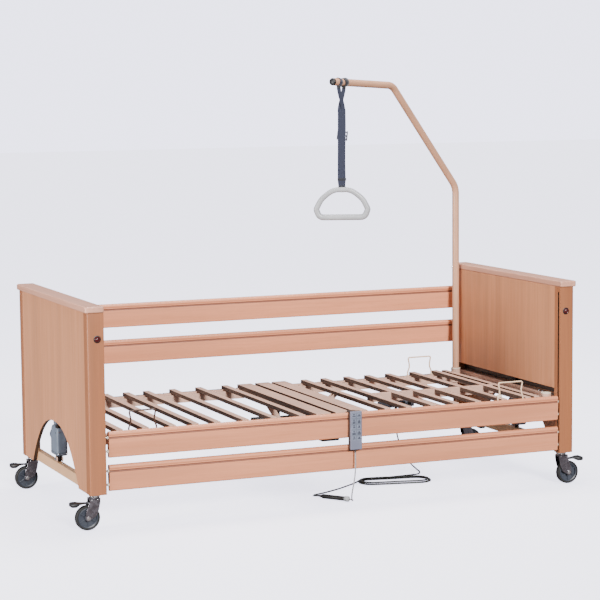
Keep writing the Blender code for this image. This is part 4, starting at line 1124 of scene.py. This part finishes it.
def make_control_box():
    low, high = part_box("control_box")
    inset = 0.0012
    parts = [
        rounded_box(low, (high.x, high.y, high.z - 0.014), 0.004, motor_plastic, 4),
        rounded_box((low.x, low.y, high.z - 0.0134), high, 0.004, motor_plastic, 4),
        rounded_box(
            (low.x + inset, low.y + inset, high.z - 0.0160),
            (high.x - inset, high.y - inset, high.z - 0.0110), 0.001, dark_plastic, 1,
        ),
    ]
    for i in range(4):
        x = low.x + 0.025 + 0.030 * i
        socket_low = (x - 0.009, low.y - 0.0012, low.z + 0.008)
        socket_high = (x + 0.009, low.y + 0.003, low.z + 0.026)
        parts.append(rounded_box(socket_low, socket_high, 0.002, dark_plastic, 2))
    for x in (low.x + 0.010, high.x - 0.010):
        for y in (low.y + 0.010, high.y - 0.010):
            parts.append(screw_head((x, y, low.z), (0, 0, -1), 0.0034, zinc_metal))
    gland = mm((3.4, 0), (6.8, 0), (6.8, -6), (5, -20), (3.4, -20.5))
    riser_x, riser_y = RISER_ROUTE[-1][:2]
    parts.append(turned(gland, (riser_x, riser_y, low.z), UP, dark_plastic, 24))
    keep(parts, "control_unit", "platform", "control_box")


make_drives()
make_control_box()


# ---- lifting pole -----------------------------------------------------------------------------
POLE_FOOT = Vector((SOCKET_X, SOCKET_Y, 0.305))
POLE_RADIUS = 0.016
POLE_BEND_LOW = Vector((SOCKET_X, SOCKET_Y, 1.254))
POLE_BEND_HIGH = Vector((0.562, 0.200, 1.731))
POLE_TIP = Vector((0.184, 0.002, 1.751))
ARM = (POLE_BEND_HIGH - POLE_TIP).normalized()
HOLD = POLE_TIP + ARM * 0.060


def make_pole():
    corners = [POLE_FOOT, POLE_BEND_LOW, POLE_BEND_HIGH, POLE_TIP + ARM * 0.004]
    parts = [tube(rounded_route(corners, 0.075, 14), POLE_RADIUS, pole_coat, 36)]
    plug = mm((0, -10), (12, -10), (12, 0), (16.1, 0), (16.2, 5), (15, 8.5), (11.5, 10.8), (0, 11.8))
    parts.append(turned(plug, POLE_TIP + ARM * 0.0045, -ARM, dark_plastic, 36))
    pin = mm((0, 0), (3.4, 0), (3.4, 5), (2.6, 6.2), (0, 6.2))
    pin_place = (SOCKET_X - POLE_RADIUS + 0.001, SOCKET_Y, 0.880)
    parts.append(turned(pin, pin_place, (-1, 0, 0), bright_metal, 16))
    keep(parts, "pole_tube", "pole", "lifting_pole")


make_pole()


# ---- grip and strap ---------------------------------------------------------------------------
BAND_TOP = 1.632
BAND_WIDTH = 0.034
BAND_STEPS = 26
LOOP_GAP = 0.019  # each loop's distance from the strap's middle, along the arm
STRAND_STEPS = 14
SLIDER_Z = 1.518
KEEPER_Z = 1.328
GRIP_TOP = 1.294
STRAP_ROTATION = Matrix.Rotation(STRAP_TURN, 4, "Z")


def strap_place(across, height, depth=0.0):
    """A point in the strap's plane: across to the right, above the floor, and depth behind the front."""
    right = Vector((math.cos(STRAP_TURN), math.sin(STRAP_TURN), 0))
    back = Vector((-math.sin(STRAP_TURN), math.cos(STRAP_TURN), 0))
    return Vector((HOLD.x, HOLD.y, 0)) + right * across + back * depth + Vector((0, 0, height))


def level_ring(half_width, half_depth, corner, steps, height):
    """A level rectangle with round corners, centred on the strap."""
    outline = rounded_outline((-half_width, -half_depth), (half_width, half_depth), corner, steps)
    return [strap_place(a, height, b) for a, b in outline]


def ribbon(stations, width, thick, skin):
    """A flat band through (across, height, depth) stations. width(share) is its width on the way."""
    last = len(stations) - 1
    rings = []
    for i, (across, height, depth) in enumerate(stations):
        before = stations[max(i - 1, 0)]
        after = stations[min(i + 1, last)]
        run = Vector((after[0] - before[0], after[1] - before[1], 0)).normalized()
        half = width(i / last) / 2
        outline = rounded_outline((-half, -thick / 2), (half, thick / 2), thick * 0.35, 2)
        rings.append([strap_place(across + a * -run.y, height + a * run.x, depth + b) for a, b in outline])
    return loft(rings, skin, smooth=50)


def band_width(share):
    """The strap's width: slightly uneven, and drawn in at the grip."""
    return BAND_WIDTH + 0.0010 * math.sin(9 * share) - 0.006 * max(0.0, (share - 0.90) / 0.10)


def make_band(way, phase):
    """One of the two layers of the strap."""
    bottom = GRIP_TOP - 0.002
    stations = []
    for i in range(BAND_STEPS + 1):
        share = i / BAND_STEPS
        height = BAND_TOP + (bottom - BAND_TOP) * share
        sway = 0.0012 * math.sin(5.0 * share + phase)
        bow = 0.0012 * math.sin(math.pi * share)
        stations.append((sway, height, way * (0.0013 + bow)))
    return ribbon(stations, band_width, 0.0020, strap_cloth)


def make_loop(way, half, thick, skin):
    """A loop round the pole's arm, the strand that leads down from it, and its clip."""
    centre = HOLD + ARM * (way * LOOP_GAP)
    inner = POLE_RADIUS + 0.0004
    outer = inner + thick
    tilt = (ARM + UP * (0.16 * way)).normalized()
    loop = [(inner, -half), (outer - 0.0005, -half), (outer, -half + 0.0006), (outer, half - 0.0006)]
    loop += [(outer - 0.0005, half), (inner, half)]
    parts = [turned(loop, centre, tilt, skin, 40)]
    start = centre - UP * (inner - 0.004)
    flat = Matrix.Rotation(-STRAP_TURN, 3, "Z") @ (start - Vector((HOLD.x, HOLD.y, 0)))
    stop = -way * 0.0085
    stations = []
    for i in range(STRAND_STEPS + 1):
        share = i / STRAND_STEPS
        ease = share * share * (3 - 2 * share)
        across = flat.x + (stop - flat.x) * ease
        height = start.z + (BAND_TOP - 0.012 - start.z) * share
        depth = flat.y * (1 - ease) + way * 0.0016 * math.sin(math.pi * share) + way * 0.0004
        stations.append((across, height, depth))
    parts.append(ribbon(stations, lambda share: 0.0170, 0.0018, strap_cloth))
    clip = rounded_box((-0.0060, -0.0035, -0.0100), (0.0060, 0.0035, 0.0080), 0.0015, dark_plastic, 2)
    clip.data.transform(Matrix.Translation(start - UP * 0.004) @ STRAP_ROTATION)
    return parts + [clip]


def make_stitches():
    """Rows of thread along both edges, and a box with a cross at each end."""
    shape = bmesh.new()

    def stitch(across, height, angle=90.0):
        made = bmesh.ops.create_cube(shape, size=1.0)["verts"]
        bmesh.ops.scale(shape, vec=(0.0032, 0.0009, 0.0007), verts=made)
        bow = math.sin(math.pi * (BAND_TOP - height) / (BAND_TOP - GRIP_TOP))
        place = Matrix.Translation(strap_place(across, height, -0.0034 - 0.0011 * bow))
        turn = Matrix.Rotation(math.radians(-angle), 4, "Y")
        bmesh.ops.transform(shape, matrix=place @ STRAP_ROTATION @ turn, verts=made)

    for side in (-1, 1):
        height = BAND_TOP - 0.006
        while height > KEEPER_Z + 0.012:
            stitch(side * (BAND_WIDTH / 2 - 0.0036), height)
            height -= 0.0048
    wide, tall = 0.022, 0.030
    slope = math.degrees(math.atan2(tall, wide))
    for top in (BAND_TOP - 0.010, KEEPER_Z + 0.046):
        for i in range(7):
            share = i / 6
            across = (share - 0.5) * wide
            stitch(across, top - tall * share, 180 - slope)
            stitch(across, top - tall * (1 - share), slope)
            stitch(across, top + 0.001, 0.0)
            stitch(across, top - tall - 0.001, 0.0)
    return new_piece(shape, thread)


def make_slider():
    """The buckle that sets the strap's length: a frame with a middle bar and a broad end."""
    turn = Matrix.Translation((HOLD.x, HOLD.y, SLIDER_Z)) @ STRAP_ROTATION
    parts = []
    for low, high in (
        ((-0.0200, 0.0030, -0.0190), (0.0262, 0.0062, -0.0135)),
        ((-0.0200, 0.0030, 0.0135), (0.0262, 0.0062, 0.0190)),
        ((-0.0200, 0.0030, -0.0190), (-0.0155, 0.0062, 0.0190)),
        ((0.0205, 0.0020, -0.0210), (0.0262, 0.0072, 0.0210)),
        ((-0.0180, 0.0032, -0.0028), (0.0240, 0.0058, 0.0028)),
    ):
        bar = rounded_box(low, high, 0.0012, dark_plastic, 2)
        bar.data.transform(turn @ Matrix.Rotation(math.radians(6), 4, "Y"))
        parts.append(bar)
    return parts


def make_strap():
    parts = [make_band(-1, 0.6), make_band(1, 1.4)]
    parts += make_loop(-1, 0.0095, 0.0022, strap_cloth)
    parts += make_loop(1, 0.0120, 0.0034, strap_dark)
    parts.append(make_stitches())
    for half_width, half_depth, corner, low, high in (
        (0.0190, 0.0044, 0.0030, KEEPER_Z - 0.0055, KEEPER_Z + 0.0055),
        (0.0155, 0.0040, 0.0018, GRIP_TOP - 0.004, GRIP_TOP + 0.008),
    ):
        rings = [level_ring(half_width, half_depth, corner, 3, height) for height in (low, high)]
        parts.append(bevelled(loft(rings, strap_dark), 0.0008, 2, 60))
    parts += make_slider()
    keep(parts, "strap", "grip", "grip_strap")


def make_grip():
    """The grip ring: a stout lower bar, sloping sides and a narrow top with the strap's housing."""
    low, wide, level, shoulder = 1.150, 0.1115, 1.197, 0.022
    bar, slim, corner = 0.0130, 0.0112, 0.026
    high = GRIP_TOP - slim
    right = [(u, low + bar) for u in (0.0, 0.025, 0.050, 0.072)]
    right += arc((wide - corner - 0.004, low + bar + corner), corner, -78, -12, 6)
    right += [(wide, level), (wide - 0.005, level + 0.014), (0.090, 1.2400), (0.066, 1.2620)]
    right += [(shoulder + 0.022, high - 0.0065), (shoulder, high), (0.0, high)]
    half = smooth_route([(u, 0.0, v) for u, v in right], 0.0055)
    route = half + [Vector((-p.x, 0, p.z)) for p in reversed(half[1:-1])]
    sides = 20
    rings = []
    for i, p in enumerate(route):
        run = (route[(i + 1) % len(route)] - route[i - 1]).normalized()
        out = Vector((run.z, 0, -run.x))
        share = min(1.0, max(0.0, (p.z - low - 0.02) / (GRIP_TOP - low - 0.04)))
        radius = bar + (slim - bar) * share
        ring = []
        for k in range(sides):
            angle = math.tau * k / sides
            swell = 1.0 + 0.10 * math.cos(angle) ** 2
            spot = p + out * (radius * math.cos(angle))
            ring.append(strap_place(spot.x, spot.z, radius * 0.94 * math.sin(angle) * swell))
        rings.append(ring)
    housing = [
        level_ring(0.0210, 0.0105, 0.0070, 4, GRIP_TOP - 0.0150),
        level_ring(0.0190, 0.0090, 0.0065, 4, GRIP_TOP + 0.0002),
    ]
    parts = [
        loft(rings, grip_plastic, loop=True, smooth=70),
        bevelled(loft(housing, grip_plastic), 0.0015, 3, 50),
    ]
    keep(parts, "grip_ring", "grip", "hand_grip")


make_strap()
make_grip()


# ---- handset and connector --------------------------------------------------------------------
HANDSET_BACK = -0.4982
HANDSET_BOTTOM = 0.243
KEY_COLUMN = 0.0115
KEY_ROW = 0.0235


def make_handset():
    low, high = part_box("handset")
    x0, x1, z0, z1 = low.x, high.x, HANDSET_BOTTOM, high.z
    front = low.y + 0.0010
    middle = (x0 + x1) / 2
    rail_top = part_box("near_upper_rail")[1].z
    edge = 0.0004
    parts = []
    for corner, opposite, radius, skin, segments in (
        (
            (x0 + edge, front + 0.0085, z0 + edge), (x1 - edge, HANDSET_BACK, z1 - edge),
            0.004, handset_dark, 4,
        ),
        ((x0, front, z0), (x1, front + 0.0088, z1), 0.0038, handset_plastic, 4),
        (
            (x0 + 0.0050, front - 0.0002, z0 + 0.040), (x1 - 0.0050, front + 0.002, z1 - 0.006),
            0.0016, key_field, 3,
        ),
    ):
        parts.append(rounded_box(corner, opposite, radius, skin, segments))
    for row in range(5):
        for column in (-1, 1):
            key_x = middle + column * KEY_COLUMN
            key_z = z1 - 0.018 - row * KEY_ROW
            parts += key_symbol(key_x, front - 0.0003, key_z, row, column)
    for half, y0, y1, down, up, radius in (
        (0.0165, HANDSET_BACK - 0.0035, -0.4652, 0.0013, 0.0060, 0.0016),
        (0.0160, -0.4694, -0.4656, -0.0318, 0.0050, 0.0014),
    ):
        hook_low, hook_high = (middle - half, y0, rail_top + down), (middle + half, y1, rail_top + up)
        parts.append(rounded_box(hook_low, hook_high, radius, handset_dark, 3))
    relief = mm((2.9, 0), (3.4, 0), (4, 6), (3.4, 7), (4.4, 10), (3.8, 11), (5, 15), (5.4, 20), (2.9, 20))
    cord_x, cord_y, cord_z = HANDSET_ROUTE[0]
    parts.append(turned(relief, (cord_x, cord_y, cord_z + 0.0006), UP, handset_dark, 24))
    keep(parts, "hand_control", "near_upper", "handset")


def key_symbol(x, y, z, row, column):
    """A plain key with an arrow and one or two strokes that stand for a bed's sections."""
    half = 0.0088
    key_low, key_high = (x - half, y - 0.0004, z - half), (x + half, y + 0.0010, z + half)
    marks = [rounded_box(key_low, key_high, 0.0010, key_face, 2)]
    ink = (y - 0.0007, y - 0.0003)
    point = column * 0.0034
    arrow = [(x - 0.0036, z + 0.0040 - point), (x + 0.0036, z + 0.0040 - point), (x, z + 0.0040 + point)]
    if column > 0:
        arrow.reverse()
    marks.append(prism(arrow, "Y", *ink, symbol_ink))
    half = 0.0072 - 0.0012 * (row % 3)
    for i in range(1 + row % 2):
        level = z - 0.0020 - 0.0044 * i
        low, high = (x - half, ink[0], level - 0.0014), (x + half, ink[1], level + 0.0014)
        marks.append(rounded_box(low, high, 0.0001, symbol_ink, 1))
    return marks


def make_connector():
    axis = SLEEVE_END - SLEEVE_START
    sleeve = mm((0, 0), (8.8, 0), (9.5, 1), (9.5, 12), (9.1, 12.5), (9.1, 13.5), (9.5, 14))
    sleeve += [
        (radius, axis.length + height) for radius, height in mm(
            (9.5, -6), (8.8, -2), (6.4, 0), (6, 5), (4.8, 6), (5.2, 8.5), (4.4, 9.5), (4.6, 12.5),
            (4, 13.5), (4, 17.8), (0, 17.8),
        )
    ]
    collar = mm(
        (0, -21.8), (3.6, -21.8), (5.8, -21.2), (6.2, -19.5), (10.8, -18.5), (11.4, -17), (11.4, -11.5),
        (10.4, -10.8), (10.4, -9.5), (11.4, -8.8), (11.4, -3), (10.6, -2), (9.8, 0), (0, 0),
    )
    parts = [
        turned(sleeve, SLEEVE_START, axis, sleeve_rubber, 36),
        turned(collar, SLEEVE_START, axis, grip_plastic, 36),
    ]
    keep(parts, "inline_connector", "chassis", "cord_connector")


make_handset()
make_connector()


# ---- stage and light --------------------------------------------------------------------------
AMBIENT = 0.42
BACKDROP = 3.9  # the backdrop is seen brighter than it lights
BACKDROP_COLOUR = (0.80, 0.80, 1.0, 1.0)
FLOOR_GLOW = 2.6  # the floor is seen as bright as the backdrop, and lights as a dull one
SUN_FROM = (-0.3, -8.2, 3.9)
SUN_STRENGTH = 5.6
SUN_ANGLE = 0.22
LAMPS = (
    # name, place, aim, size and power
    ("left", (-7.5, -1.5, 1.5), (-1.0, -0.2, 0.5), 1.6, 700.0),
    ("top", (0.6, 0.6, 5.0), (0.2, 0.0, 0.4), 2.4, 260.0),
)


def by_camera_ray(tree, unseen, seen, target):
    """Joins two shaders, the second one met only by what the camera sees first."""
    path = tree.nodes.new("ShaderNodeLightPath")
    both = tree.nodes.new("ShaderNodeMixShader")
    tree.links.new(path.outputs["Is Camera Ray"], both.inputs["Fac"])
    tree.links.new(unseen, both.inputs[1])
    tree.links.new(seen, both.inputs[2])
    tree.links.new(both.outputs["Shader"], target)


def make_floor():
    paint = Paint("floor_paint", (0.80, 0.80, 0.82), 0.65)
    cloud = paint.noise(1.2, 3.0)
    pale = paint.mix(cloud, (0.78, 0.78, 0.80), (0.82, 0.82, 0.84))
    paint.wire(pale, paint.shader.inputs["Base Color"])
    tree = paint.tree
    target = paint.shader.outputs["BSDF"].links[0].to_socket
    glow = paint.node("ShaderNodeEmission", {"Color": BACKDROP_COLOUR, "Strength": FLOOR_GLOW})
    lit = paint.node("ShaderNodeAddShader")
    paint.wire(paint.shader.outputs["BSDF"], lit.inputs[0])
    paint.wire(glow.outputs["Emission"], lit.inputs[1])
    dull = paint.node("ShaderNodeBsdfDiffuse", {"Color": (0.20, 0.18, 0.18, 1.0)})
    by_camera_ray(tree, dull.outputs["BSDF"], lit.outputs["Shader"], target)
    shape = bmesh.new()
    bmesh.ops.create_grid(shape, x_segments=1, y_segments=1, size=40.0)
    floor = new_piece(shape, paint.material)
    floor.name = "floor"
    floor.location.z = -0.0005


def make_backdrop():
    world = bpy.data.worlds.new("studio")
    world.use_nodes = True
    tree = world.node_tree
    ambient = tree.nodes["Background"]
    ambient.inputs["Color"].default_value = (0.90, 0.93, 1.0, 1.0)
    ambient.inputs["Strength"].default_value = AMBIENT
    backdrop = tree.nodes.new("ShaderNodeBackground")
    backdrop.inputs["Color"].default_value = BACKDROP_COLOUR
    backdrop.inputs["Strength"].default_value = BACKDROP
    target = tree.nodes["World Output"].inputs["Surface"]
    by_camera_ray(tree, ambient.outputs["Background"], backdrop.outputs["Background"], target)
    SCENE.world = world


def add_light(name, data, place, aim):
    data.color = (1.0, 0.98, 0.96)
    light = bpy.data.objects.new(name, data)
    light.location = place
    light.rotation_euler = (Vector(aim) - Vector(place)).to_track_quat("-Z", "Y").to_euler()
    SCENE.collection.objects.link(light)


def make_lights():
    sun = bpy.data.lights.new("key", "SUN")
    sun.energy = SUN_STRENGTH
    sun.angle = SUN_ANGLE
    add_light("key", sun, SUN_FROM, (0.0, 0.0, 0.5))
    for name, place, aim, size, power in LAMPS:
        lamp = bpy.data.lights.new(name, "AREA")
        lamp.size = size
        lamp.energy = power
        add_light(name, lamp, place, aim)


make_floor()
make_backdrop()
make_lights()
